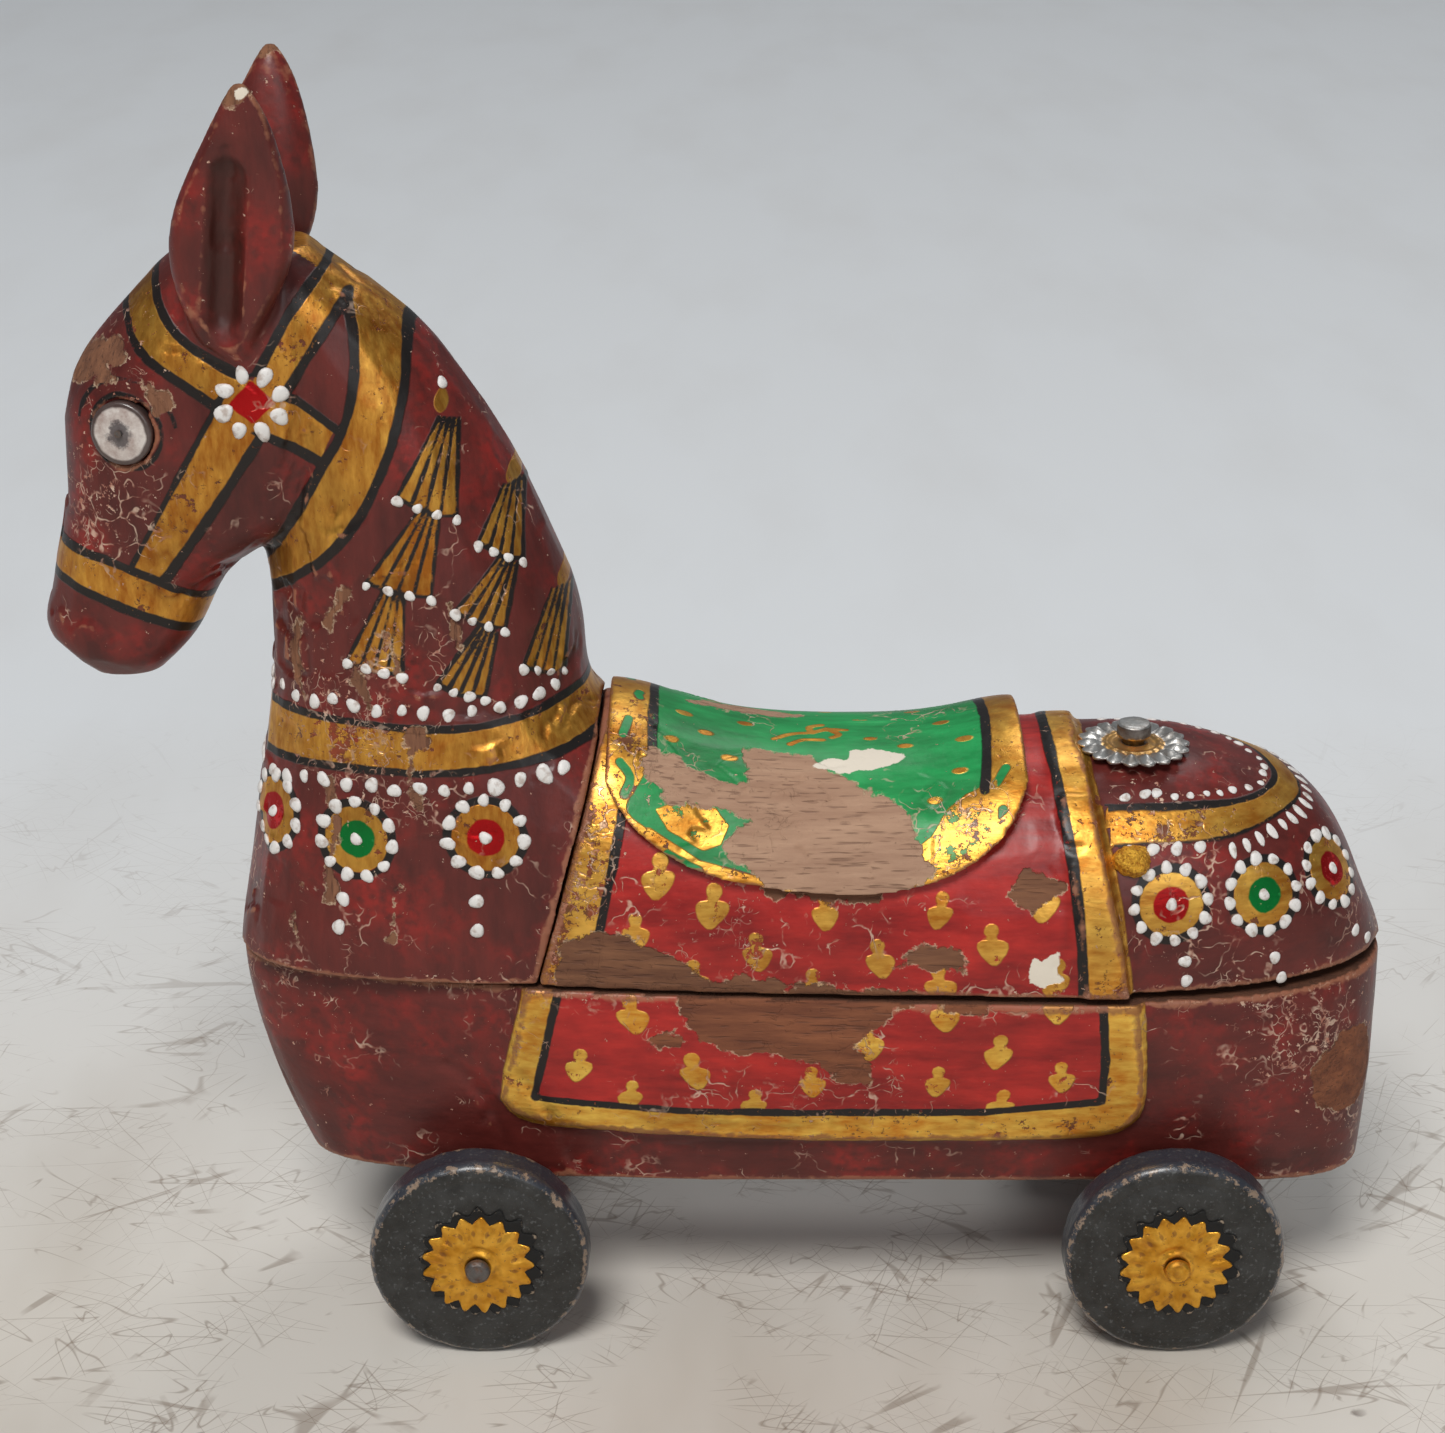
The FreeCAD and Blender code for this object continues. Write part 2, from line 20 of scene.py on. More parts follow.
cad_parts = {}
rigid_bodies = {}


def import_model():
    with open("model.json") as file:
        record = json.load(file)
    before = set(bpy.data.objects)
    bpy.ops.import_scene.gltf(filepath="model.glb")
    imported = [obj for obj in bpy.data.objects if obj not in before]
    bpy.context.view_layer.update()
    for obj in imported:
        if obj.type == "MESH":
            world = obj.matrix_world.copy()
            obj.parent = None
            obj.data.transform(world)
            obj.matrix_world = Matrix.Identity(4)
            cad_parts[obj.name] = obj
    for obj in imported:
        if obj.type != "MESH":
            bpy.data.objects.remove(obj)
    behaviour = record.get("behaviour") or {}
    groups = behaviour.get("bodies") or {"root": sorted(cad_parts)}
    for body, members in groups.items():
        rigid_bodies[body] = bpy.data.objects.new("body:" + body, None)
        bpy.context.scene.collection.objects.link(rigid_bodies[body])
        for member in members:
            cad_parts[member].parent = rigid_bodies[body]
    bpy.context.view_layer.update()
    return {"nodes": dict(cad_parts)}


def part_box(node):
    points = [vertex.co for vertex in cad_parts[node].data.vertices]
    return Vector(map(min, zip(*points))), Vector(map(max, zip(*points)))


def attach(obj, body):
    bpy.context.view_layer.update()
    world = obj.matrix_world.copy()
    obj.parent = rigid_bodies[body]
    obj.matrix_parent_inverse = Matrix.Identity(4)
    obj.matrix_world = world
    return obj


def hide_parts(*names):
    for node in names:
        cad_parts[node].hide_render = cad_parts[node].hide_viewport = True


for leftover in list(bpy.data.objects):
    bpy.data.objects.remove(leftover)
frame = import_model()
MM = 0.001

# %% [markdown]
# ## Camera, floor and light
#
# A small object on a table is looked at from a little above. A camera lens of about 73 mm keeps the
# horse's proportions natural. The floor is one large pale sheet, and the light comes from big soft
# lamps, so shadows stay pale and painted dots still show their relief.

# %% Camera
CAMERA_TILT, CAMERA_LENS, SENSOR_WIDTH = 23.0, 73.37, 36.0
CAMERA_PLACE = (-0.00125, -0.552303, 0.360170)
camera_data = bpy.data.cameras.new("camera")
camera_data.sensor_width = SENSOR_WIDTH
camera_data.lens = CAMERA_LENS
camera = bpy.data.objects.new("camera", camera_data)
bpy.context.scene.collection.objects.link(camera)
camera.location = CAMERA_PLACE
camera.rotation_euler = (math.radians(90 - CAMERA_TILT), 0, 0)
bpy.context.scene.camera = camera
bpy.context.scene.view_settings.view_transform = "Standard"
print("camera at", tuple(round(c, 3) for c in camera.location))


# %% Lamps and sky
LAMPS_AIM_AT = Vector((0, 0, 0.09))
SKY_COLOUR, SKY_STRENGTH = (0.80, 0.86, 0.92, 1), 0.16


def soft_lamp(name, place, size, power, colour):
    lamp = bpy.data.lights.new(name, "AREA")
    lamp.shape, lamp.size, lamp.energy, lamp.color = "DISK", size, power, colour
    holder = bpy.data.objects.new(name, lamp)
    bpy.context.scene.collection.objects.link(holder)
    holder.location = place
    holder.rotation_euler = (LAMPS_AIM_AT - Vector(place)).to_track_quat("-Z", "Y").to_euler()


soft_lamp("key_lamp", (-0.5, -1.75, 2.7), 1.2, 77.0, (1.0, 0.985, 0.96))
soft_lamp("fill_lamp", (0.9, -2.7, 1.4), 1.4, 13.0, (0.97, 0.98, 1.0))
soft_lamp("back_lamp", (0.7, 1.8, 2.8), 1.6, 22.0, (1.0, 1.0, 1.0))
sky = bpy.data.worlds.new("pale_room")
sky.use_nodes = True
background = sky.node_tree.nodes["Background"]
background.inputs["Color"].default_value = SKY_COLOUR
background.inputs["Strength"].default_value = SKY_STRENGTH
bpy.context.scene.world = sky

# %% [markdown]
# ## Writing materials as sums
#
# A material is a network of nodes. Reading it is easier when it looks like arithmetic, so one small
# class holds a socket and lets it be added, multiplied and subtracted. Every other node comes from its
# `node` method.


# %% A socket that can be used like a number
class Wire:
    """One output of a material's network."""

    def __init__(self, tree, socket=None):
        self.tree, self.socket = tree, socket

    def node(self, kind, settings=None, inputs=None, output=0):
        made = self.tree.nodes.new("ShaderNode" + kind)
        for name, value in (settings or {}).items():
            setattr(made, name, value)
        for name, value in (inputs or {}).items():
            if isinstance(value, Wire):
                self.tree.links.new(value.socket, made.inputs[name])
            else:
                made.inputs[name].default_value = value
        return Wire(self.tree, made.outputs[output] if made.outputs else None)

    def math(self, operation, *values):
        return self.node("Math", {"operation": operation}, dict(enumerate(values)))

    def __add__(self, other):
        return self.math("ADD", self, other)

    def __sub__(self, other):
        return self.math("SUBTRACT", self, other)

    def __rsub__(self, other):
        return self.math("SUBTRACT", other, self)

    def __mul__(self, other):
        return self.math("MULTIPLY", self, other)

    __radd__, __rmul__ = __add__, __mul__


# %% Words for painting
COLOUR_A, COLOUR_B, COLOUR_OUT = 6, 7, 2


def rgb(red, green, blue):
    """A colour given as it looks on a screen, 0 to 255, turned into light."""
    return tuple((c / 255 / 12.92) if c < 10.3 else ((c / 255 + 0.055) / 1.055) ** 2.4
                 for c in (red, green, blue))


def tint(wire, share, under, over):
    """Lay the colour `over` on `under`, where `share` is 1."""
    full = [c if isinstance(c, Wire) else (*c, 1) for c in (under, over)]
    return wire.node("Mix", {"data_type": "RGBA"}, {0: share, COLOUR_A: full[0], COLOUR_B: full[1]},
                     COLOUR_OUT)


def ramp(wire, value, low, high, start=0.0, end=1.0):
    """Turn `value` from low..high into start..end, and hold it there."""
    return wire.node("MapRange", {}, {"Value": value, "From Min": low, "From Max": high,
                                      "To Min": start, "To Max": end})


def place_of(wire, stretch=(1, 1, 1)):
    """Position on the piece itself, so that a pattern moves with it."""
    where = wire.node("TexCoord", {}, {}, "Object")
    return wire.node("VectorMath", {"operation": "MULTIPLY"}, {0: where, 1: stretch})


def cloud(wire, size_mm, detail=2.0, stretch=(1, 1, 1), roughness=0.5, where=None):
    """A soft random pattern of a given size, 0 to 1 and mostly near a half."""
    return wire.node("TexNoise", {}, {"Vector": where or place_of(wire, stretch),
                                      "Scale": 1000 / size_mm, "Detail": detail,
                                      "Roughness": roughness})


def field(wire, name):
    """A number that was stored at the points of the mesh."""
    return wire.node("Attribute", {"attribute_name": name}, {}, "Fac")


def inside(wire, distance, softness=0.14):
    """1 where a distance in millimetres is below zero, with a soft edge."""
    return ramp(wire, distance, softness, -softness)


def new_material(name):
    material = bpy.data.materials.new(name)
    material.use_nodes = True
    material.node_tree.nodes.clear()
    return material, Wire(material.node_tree)


def finish_surface(wire, inputs):
    surface = wire.node("BsdfPrincipled", {}, inputs)
    wire.node("OutputMaterial", {}, {"Surface": surface})


def relief(wire, height_mm):
    return wire.node("Bump", {}, {"Height": height_mm, "Distance": MM})


# %% [markdown]
# ## The floor
#
# The floor is a pale painted board: clean at the back, warmer and finely scratched at the front, with a
# few brown specks. One large flat face is enough, because its only work is to catch the soft shadow. A
# scratch is the line where a drawn-out noise passes its middle value: each set has an angle, a size in
# millimetres, and the level of a second noise above which it shows.

# %% Floor
FLOOR_HALF = 6
SCRATCHES = ((0.3, 9, 0.47), (-0.6, 8, 0.48), (1.1, 8, 0.50), (2.2, 10, 0.48), (-0.1, 12, 0.46),
             (0.7, 11, 0.47), (-1.2, 9, 0.49))
floor_corners = [(x * FLOOR_HALF, y * FLOOR_HALF, 0) for x, y in ((-1, -1), (1, -1), (1, 1), (-1, 1))]
floor_mesh = bpy.data.meshes.new("floor")
floor_mesh.from_pydata(floor_corners, [], [(0, 1, 2, 3)])
floor = bpy.data.objects.new("floor", floor_mesh)
bpy.context.scene.collection.objects.link(floor)
material, wire = new_material("pale_board")
away = wire.node("SeparateXYZ", {}, {"Vector": place_of(wire)}, "Y")
front = ramp(wire, away, 0.30, -0.02)
marks = ramp(wire, cloud(wire, 60, 4, (1, 0.35, 1)), 0.45, 0.75)
board = tint(wire, front, tint(wire, marks * 0.5, rgb(226, 229, 232), rgb(218, 219, 220)),
             tint(wire, marks, rgb(214, 209, 201), rgb(196, 188, 177)))
for angle, size, seen in SCRATCHES:
    turned = wire.node("Mapping", {}, {"Vector": place_of(wire), "Rotation": (0, 0, angle)})
    drawn_out = wire.node("VectorMath", {"operation": "MULTIPLY"}, {0: turned, 1: (0.10, 1, 1)})
    ridge = wire.math("ABSOLUTE", cloud(wire, size, 1, where=drawn_out) - 0.5)
    broken = ramp(wire, cloud(wire, 20 + size, 4), seen, seen + 0.06)
    scratch = ramp(wire, ridge, 0.005, 0.001) * broken * front
    board = tint(wire, scratch * 0.46, board, rgb(118, 98, 80))
cells = wire.node("TexVoronoi", {}, {"Vector": place_of(wire), "Scale": 34.0}, "Distance")
specks = ramp(wire, cells + (cloud(wire, 3, 3) - 0.5) * 0.16, 0.06, 0.03)
specks = specks * ramp(wire, cloud(wire, 40, 2), 0.46, 0.52)
board = tint(wire, specks * front * 0.85, board, rgb(70, 44, 30))
finish_surface(wire, {"Base Color": board, "Roughness": 0.62, "Specular IOR Level": 0.3})
floor_mesh.materials.append(material)
print("floor", floor.dimensions[:])

# %% [markdown]
# ## Carved wood
#
# The box, the lid, the saddle and the head are carved, so none of their faces is quite flat and no edge
# is quite sharp. The CAD shape is copied, given an even skin of small squares, and then worked as a
# carver would: shallow slices with a knife leave facets, and a slow unevenness stays from the gouge.
# Cuts only go inwards, so the piece keeps its size. The even skin also carries the paint later, as
# numbers stored at its points.


# %% The skin of a carved piece
class Skin:
    """The surface of one carved piece, in millimetres."""

    def __init__(self, obj):
        self.obj, self.mesh = obj, obj.data
        self.count = len(self.mesh.vertices)
        flat = np.empty(self.count * 3, np.float32)
        self.mesh.vertices.foreach_get("co", flat)
        self.points = flat.reshape(-1, 3).astype(float) / MM
        pairs = np.empty(len(self.mesh.edges) * 2, np.int32)
        self.mesh.edges.foreach_get("vertices", pairs)
        self.ends = pairs.reshape(-1, 2)
        self.degree = np.bincount(pairs, minlength=self.count)

    def neighbours(self, values):
        """Each point's mean over the points next to it."""
        first, second = self.ends.T
        columns = values.reshape(self.count, -1).T
        total = [np.bincount(first, c[second], self.count) + np.bincount(second, c[first], self.count)
                 for c in columns]
        return (np.array(total).T / self.degree[:, None]).reshape(values.shape)

    def blurred(self, values, rounds):
        for _ in range(rounds):
            values = 0.5 * values + 0.5 * self.neighbours(values)
        return values

    def normals(self):
        flat = np.empty(self.count * 3, np.float32)
        self.mesh.vertex_normals.foreach_get("vector", flat)
        return flat.reshape(-1, 3).astype(float)

    def store(self):
        self.mesh.vertices.foreach_set("co", (self.points * MM).astype(np.float32).ravel())
        self.mesh.update()

    def keep(self, name, values):
        self.mesh.attributes.new(name, "FLOAT", "POINT").data.foreach_set(
            "value", np.asarray(values, np.float32))


# %% Carving
SWELL_WAVES = 9


def swell(points, wavelength, seed):
    """A smooth random unevenness, about -1 to 1."""
    rng = np.random.default_rng(seed)
    total = np.zeros(len(points))
    for _ in range(SWELL_WAVES):
        direction = rng.normal(size=3)
        direction /= np.linalg.norm(direction)
        length = wavelength * rng.uniform(0.7, 1.5)
        total += np.sin(points @ direction * (2 * math.pi / length) + rng.uniform(0, 2 * math.pi))
    return total / (SWELL_WAVES / 2)


def even_skin(node, name, voxel):
    """A copy of a CAD node covered with small squares of one size."""
    piece = bpy.data.objects.new(name, frame["nodes"][node].data.copy())
    bpy.context.scene.collection.objects.link(piece)
    remesh = piece.modifiers.new("even skin", "REMESH")
    remesh.mode, remesh.voxel_size = "VOXEL", voxel * MM
    solid = bpy.data.meshes.new_from_object(piece.evaluated_get(bpy.context.evaluated_depsgraph_get()))
    piece.modifiers.clear()
    piece.data = solid
    piece.data.materials.clear()
    piece.data.polygons.foreach_set("use_smooth", [True] * len(piece.data.polygons))
    return piece


def slice_facets(skin, count, depth, reach, seed):
    """Shallow flat cuts at random places, as a knife leaves them, but none on level faces."""
    rng = np.random.default_rng(seed)
    normals = skin.normals()
    outer = np.flatnonzero(np.abs(normals[:, 2]) < 0.93)
    for index in rng.choice(outer, count, replace=False):
        centre, normal = skin.points[index].copy(), normals[index]
        away = skin.points - centre
        above = away @ normal + depth * rng.uniform(0.5, 1.0)
        hit = (above > 0) & (above < depth * 1.7) & ((away ** 2).sum(1) < reach ** 2)
        skin.points[hit] -= above[hit, None] * normal


def keep_within(skin, node):
    """Hold a piece inside the box of the CAD node that it stands for."""
    low, high = (np.array(corner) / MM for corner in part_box(node))
    skin.points = np.clip(skin.points, low, high)
    skin.store()


def carve(node, name, body, voxel=0.8, facets=0, depth=0.4, reach=12.0, uneven=0.25, rounds=3,
          seed=1):
    piece = even_skin(node, name, voxel)
    skin = Skin(piece)
    skin.points = skin.blurred(skin.points, rounds)
    skin.store()
    if facets:
        slice_facets(skin, facets, depth, reach, seed)
    skin.store()
    broad, narrow = swell(skin.points, 34, seed + 1), swell(skin.points, 9, seed + 2)
    inward = uneven * (0.5 + 0.35 * broad + 0.15 * narrow)
    skin.points -= np.clip(inward, 0, None)[:, None] * skin.normals()
    skin.points = skin.blurred(skin.points, 1)
    keep_within(skin, node)
    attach(piece, body)
    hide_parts(node)
    print(f"{name}: {skin.count} points, {len(skin.mesh.polygons)} faces")
    return skin


base = carve("base_box", "carved_box", "box", 0.85, 110, 0.35, 14, seed=11)
back = carve("lid_block", "carved_back", "lid", 0.75, 90, 0.32, 12, seed=21)
head = carve("head_neck", "carved_head", "lid", 0.62, 260, 0.38, 10, 0.22, seed=31)
seat = carve("saddle", "carved_saddle", "lid", 0.5, 30, 0.2, 12, 0.2, seed=41)

# %% [markdown]
# ## Ears
#
# The outer face of each ear is pared nearly flat, which leaves a crisp bevel round it, and a gouge has
# run down its middle. Both are made by moving the skin's points sideways, so the ear stays one surface
# with the head.

# %% Ears
EAR_LOW_Z, EAR_MIDDLE_Z, EAR_HALF_HEIGHT, EAR_MIDDLE_Y, EAR_HALF = 209.0, 228.0, 31.0, 17.6, 4.8
GOUGE_LOW, GOUGE_HIGH, GOUGE_HALF_WIDTH, GOUGE_DEPTH = (-94.4, 215.5), (-91.6, 241.0), 4.0, 1.6


def from_gouge(points):
    """Distance from the line of the ear's gouge, seen from the side."""
    start, run = np.array(GOUGE_LOW), np.array(GOUGE_HIGH) - GOUGE_LOW
    flat = points[:, [0, 2]] - start
    along = np.clip(flat @ run / (run @ run), 0, 1)
    return np.hypot(*(flat - along[:, None] * run).T)


def pare_ears(skin):
    x, y, z = skin.points.T
    out = np.abs(y)
    half = EAR_HALF * np.sqrt(np.clip(1 - ((z - EAR_MIDDLE_Z) / EAR_HALF_HEIGHT) ** 2, 0.05, 1))
    limit = EAR_MIDDLE_Y + np.clip(z - 240, 0, None) * 0.12 + 0.52 * half
    on_ear = (z > EAR_LOW_Z) & (out > limit)
    fade = np.clip((z - EAR_LOW_Z) / 6, 0, 1)
    flatter = limit + 0.22 * (out - limit)
    out = np.where(on_ear, out + (flatter - out) * fade, out)
    groove = np.clip(1 - (from_gouge(skin.points) / GOUGE_HALF_WIDTH) ** 2, 0, 1)
    outside = (z > EAR_LOW_Z) & (out > EAR_MIDDLE_Y)
    out = np.where(outside, out - GOUGE_DEPTH * groove, out)
    skin.points[:, 1] = np.sign(y) * out
    skin.points = np.where((z > EAR_LOW_Z)[:, None], skin.blurred(skin.points, 2), skin.points)
    skin.store()
    print("ear points pared:", int(on_ear.sum()))


pare_ears(head)

# %% [markdown]
# ## Paint as distances
#
# Each colour is stored as a distance: how many millimetres a point lies outside the painted shape, below
# zero inside it. A distance changes slowly from point to point, so the edge of a line stays crisp even
# between the skin's points, and the material can make it wobble like a brush line or wear it back.
#
# Bridle and blanket are drawn from the side, as x along the horse and z up. Both sides of the horse
# take the same drawing.


# %% Distances to outlines, lines and balls
FAR = 60.0
COLOURS = ("gold", "black", "crimson", "green", "scarlet", "leafgreen", "bare", "gesso", "dark")


def to_segments(points, corners):
    """The least distance from each flat point to a run of straight lines."""
    best = np.full(len(points), FAR)
    for start, end in zip(corners[:-1], corners[1:]):
        run = end - start
        along = np.clip(((points - start) @ run) / max(run @ run, 1e-9), 0, 1)
        best = np.minimum(best, np.hypot(*(points - start - along[:, None] * run).T))
    return best


def area(points, outline, rounding=0):
    """Distance to a closed outline, below zero inside."""
    corners = np.array(outline, float)
    for _ in range(rounding):
        after = np.roll(corners, -1, 0)
        corners = np.stack([0.75 * corners + 0.25 * after, 0.25 * corners + 0.75 * after], 1)
        corners = corners.reshape(-1, 2)
    closed = np.vstack([corners, corners[:1]])
    within = np.zeros(len(points), bool)
    across, up = points.T
    for (x0, z0), (x1, z1) in zip(closed[:-1], closed[1:]):
        if z0 != z1:
            within ^= ((z0 > up) != (z1 > up)) & (across < (x1 - x0) * (up - z0) / (z1 - z0) + x0)
    distance = to_segments(points, closed)
    return np.where(within, -distance, distance)


def curve_through(corners, rounding=2):
    """A softer line that keeps its two ends."""
    line = np.array(corners, float)
    for _ in range(rounding):
        middle = np.stack([0.75 * line[:-1] + 0.25 * line[1:], 0.25 * line[:-1] + 0.75 * line[1:]], 1)
        line = np.vstack([line[:1], middle.reshape(-1, line.shape[1])[1:-1], line[-1:]])
    return line


def stroke(points, corners, width, rounding=2):
    return to_segments(points, curve_through(corners, rounding)) - width / 2


def band(points, upper, lower, rounding=2):
    """The area between two lines that run the same way."""
    there, back_again = curve_through(upper, rounding), curve_through(lower, rounding)[::-1]
    return area(points, np.vstack([there, back_again]))


def ball(points, centre, radius):
    return np.linalg.norm(points - np.array(centre), axis=1) - radius


EDGE_PROUD = 0.20


class Paint:
    """The colours on one carved piece."""

    def __init__(self, skin):
        self.skin = skin
        self.side = skin.points[:, [0, 2]]
        self.colours = {name: np.full(skin.count, FAR) for name in COLOURS}

    def lay(self, colour, distance):
        self.colours[colour] = np.minimum(self.colours[colour], distance)

    def clear(self, colour, distance):
        self.colours[colour] = np.maximum(self.colours[colour], -distance)

    def keep(self, wear, raw, rubbed=0.0):
        for name, values in self.colours.items():
            self.skin.keep(name, values)
        normals = self.skin.normals()
        proud = ((self.skin.points - self.skin.blurred(self.skin.points, 12)) * normals).sum(1)
        proud = self.skin.blurred(proud, 2)
        print("how far edges stand proud, mm:", np.percentile(proud, (50, 90, 97, 99)).round(3))
        self.skin.keep("edge", np.clip(proud / EDGE_PROUD + rubbed, -1, 1))
        self.skin.keep("wear", self.skin.blurred(wear, 6))
        self.skin.keep("raw", raw)
        shares = {name: round(float((values < 0).mean()), 3) for name, values in self.colours.items()}
        print(self.skin.obj.name, "painted shares:", shares)


# %% [markdown]
# ## The bridle
#
# Browband, headstall, throatlatch, cheek strap and noseband are gilded straps between black lines. Each
# strap is the area between its two edges, and each black line follows one edge.

# %% Bridle
LINE = 2.0
BROW_UPPER = [(-112, 226), (-108.8, 220), (-106.8, 213.7), (-101.4, 208.1), (-91.8, 202.8),
              (-83.7, 199.1), (-74.6, 192.3)]
BROW_LOWER = [(-121, 221), (-114.5, 214), (-112.4, 207.2), (-104, 202), (-97.2, 197.2), (-88, 191.5),
              (-78.2, 185.5)]
HEADSTALL_FRONT = [(-76.0, 221.8), (-82.2, 214.8), (-87.7, 205), (-90.5, 200)]
HEADSTALL_REAR = [(-72, 216.5), (-77.7, 208.4), (-83.7, 199.1)]
THROAT_OUTER = [(-66, 222), (-61.5, 214), (-61.2, 204), (-61.8, 197.3), (-65.4, 184.6),
                (-73.7, 169.6), (-88.1, 158.2), (-94, 154)]
THROAT_INNER = [(-72.2, 216.5), (-70.3, 209), (-71, 198), (-73.8, 190.5), (-77.8, 184.4),
                (-84, 173.5), (-91, 163), (-96, 158)]
CHEEK_FRONT = [(-95.5, 199), (-103.2, 185.8), (-116.1, 163.3)]
CHEEK_REAR = [(-88, 192), (-98.3, 176.5), (-109.8, 160.5)]
NOSE_UPPER = [(-140, 168.6), (-130.3, 167.6), (-116.9, 164.2), (-105, 156.4), (-96, 151)]
NOSE_LOWER = [(-140, 161), (-132.5, 160.5), (-123, 156.7), (-108.8, 149.9), (-100, 144)]

paint_head = Paint(head)
side = paint_head.side
for first_edge, second_edge in ((BROW_UPPER, BROW_LOWER), (HEADSTALL_FRONT, HEADSTALL_REAR),
                                (THROAT_OUTER, THROAT_INNER), (CHEEK_FRONT, CHEEK_REAR),
                                (NOSE_UPPER, NOSE_LOWER)):
    paint_head.lay("gold", band(side, first_edge, second_edge))
for edge in (BROW_UPPER, BROW_LOWER, HEADSTALL_FRONT, HEADSTALL_REAR, THROAT_OUTER, THROAT_INNER,
             CHEEK_REAR, NOSE_UPPER, NOSE_LOWER):
    paint_head.lay("black", stroke(side, edge, LINE))
paint_head.lay("black", stroke(side, CHEEK_FRONT, 1.2))
CROWN = [(-88, 234), (-83.5, 223), (-78.6, 220.6), (-76.4, 221.2), (-79, 217), (-76, 210),
         (-72, 216.5), (-70.3, 209), (-61, 209), (-61.5, 214), (-58, 226)]
on_ear = (np.abs(head.points[:, 1]) > 7.5) & (side[:, 1] > 216) & (side[:, 0] < -77.5)
paint_head.lay("gold", area(side, CROWN) + np.where(on_ear, FAR, 0))

# %% [markdown]
# ## Collar, chest flowers and tassels
#
# A gilded collar goes round the foot of the neck, with a row of white dots above it and one below. On
# the chest are three flowers on each side. Behind the bridle hang three strings of tassels: each tassel
# is a small gilded fan with black strokes that spread from its tip.

# %% Collar and flowers
COLLAR_UPPER = [(-110, 132.6), (-92.2, 133.1), (-78.6, 134), (-55.2, 133), (-41.7, 134.4),
                (-27.3, 136.9), (-15, 139)]
COLLAR_LOWER = [(-110, 122), (-93.7, 122.4), (-78.9, 124.3), (-58.7, 124.1), (-41.7, 125.8),
                (-27.3, 128.5), (-15, 131)]
CHEST_FLOWERS = [((-92.1, -14.2, 111.3), "scarlet"), ((-74.0, -25.2, 109.9), "leafgreen"),
                 ((-47.9, -28.6, 111.9), "scarlet")]
HEAD_FLOWER = (-89.9, -18.8, 197.6)


def flower(paint, centre, colour, disc=6.9, heart=3.9):
    for turn in (1, -1):
        where = (centre[0], centre[1] * turn, centre[2])
        paint.lay("gold", ball(paint.skin.points, where, disc))
        paint.lay("black", np.abs(ball(paint.skin.points, where, disc + 0.7)) - 0.85)
        paint.lay(colour, ball(paint.skin.points, where, heart))


paint_head.lay("gold", band(side, COLLAR_UPPER, COLLAR_LOWER))
for edge in (COLLAR_UPPER, COLLAR_LOWER):
    paint_head.lay("black", stroke(side, edge, 1.7))
for centre, colour in CHEST_FLOWERS:
    flower(paint_head, centre, colour)
heart_x, heart_z = HEAD_FLOWER[0] - side[:, 0], HEAD_FLOWER[2] - side[:, 1]
diamond = (np.abs(heart_x) + np.abs(heart_z)) * 0.75 - 3.3
off_side = np.where(np.abs(head.points[:, 1]) > 12, 0.0, FAR)
paint_head.lay("scarlet", diamond + off_side)
paint_head.clear("black", np.hypot(heart_x, heart_z) - 5.2)

# %% Tassels
# Each tassel: its tip, then the two ends of its hem, front and rear, as (x, z).
TASSELS = [((-53.6, 192.6), (-63.3, 179.2), (-52.2, 174.9)), ((-57.2, 176.3), (-70.0, 162.2),
                                                              (-57.4, 159.6)), ((-64.4, 160.8),
                                                                                (-74.3, 146.3),
                                                                                (-63.5, 144.2)),
           ((-41.9, 178.2), (-48.3, 169.4), (-40.0, 164.8)), ((-42.8, 165.0), (-52.8, 156.8),
                                                              (-43.5, 152.4)), ((-46.7, 152.5),
                                                                                (-56.7, 142.3),
                                                                                (-47.5, 139.3)),
           ((-32.9, 157.0), (-40.1, 144.4), (-32.6, 141.0))]
DROPS = [(-54.9, 196.3), (-41.9, 180.2), (-32.6, 158.9)]


def tassel(paint, tip, front, rear):
    tip, front, rear = (np.array(p, float) for p in (tip, front, rear))
    shoulder = (front + rear - 2 * tip) / 2
    shoulder = shoulder / np.linalg.norm(shoulder)
    across = np.array([shoulder[1], -shoulder[0]])
    front_tip, rear_tip = tip + across * 1.9, tip - across * 1.9
    low_middle = (front + rear) / 2 + shoulder * 1.2
    paint.lay("gold", area(paint.side, [front_tip, front, low_middle, rear, rear_tip]))
    for share in (0.0, 0.26, 0.5, 0.74, 1.0):
        top = front_tip + (rear_tip - front_tip) * share
        paint.lay("black", stroke(paint.side, [top, front + (rear - front) * share], 0.75))
    paint.lay("black", stroke(paint.side, [front, low_middle, rear], 0.8))


for tip, front, rear in TASSELS:
    tassel(paint_head, tip, front, rear)
for x, z in DROPS:
    drop = [(x - 1.6, z - 0.6), (x, z + 2.6), (x + 1.6, z - 0.6), (x, z - 2.8)]
    paint_head.lay("gold", area(side, drop, 2))

# %% [markdown]
# ## Eyes and ears
#
# Each eye sits in a thin painted ring under a painted lid line. The gouge down each ear is tinted dark
# brown, which is painted shade.

# %% Round the eyes
EYE_PLACE = np.array([-114.4, 191.6])
from_eye = np.hypot(*(side - EYE_PLACE).T)
low_on_side = np.where(np.abs(head.points[:, 1]) > 8, 0.0, FAR)
paint_head.lay("black", np.abs(from_eye - 7.1) - 0.45 + low_on_side)
lid_line = np.abs(from_eye - 9.9) - 0.35
paint_head.lay("black", lid_line + low_on_side + np.where(side[:, 1] > EYE_PLACE[1] + 1.0, 0, FAR))


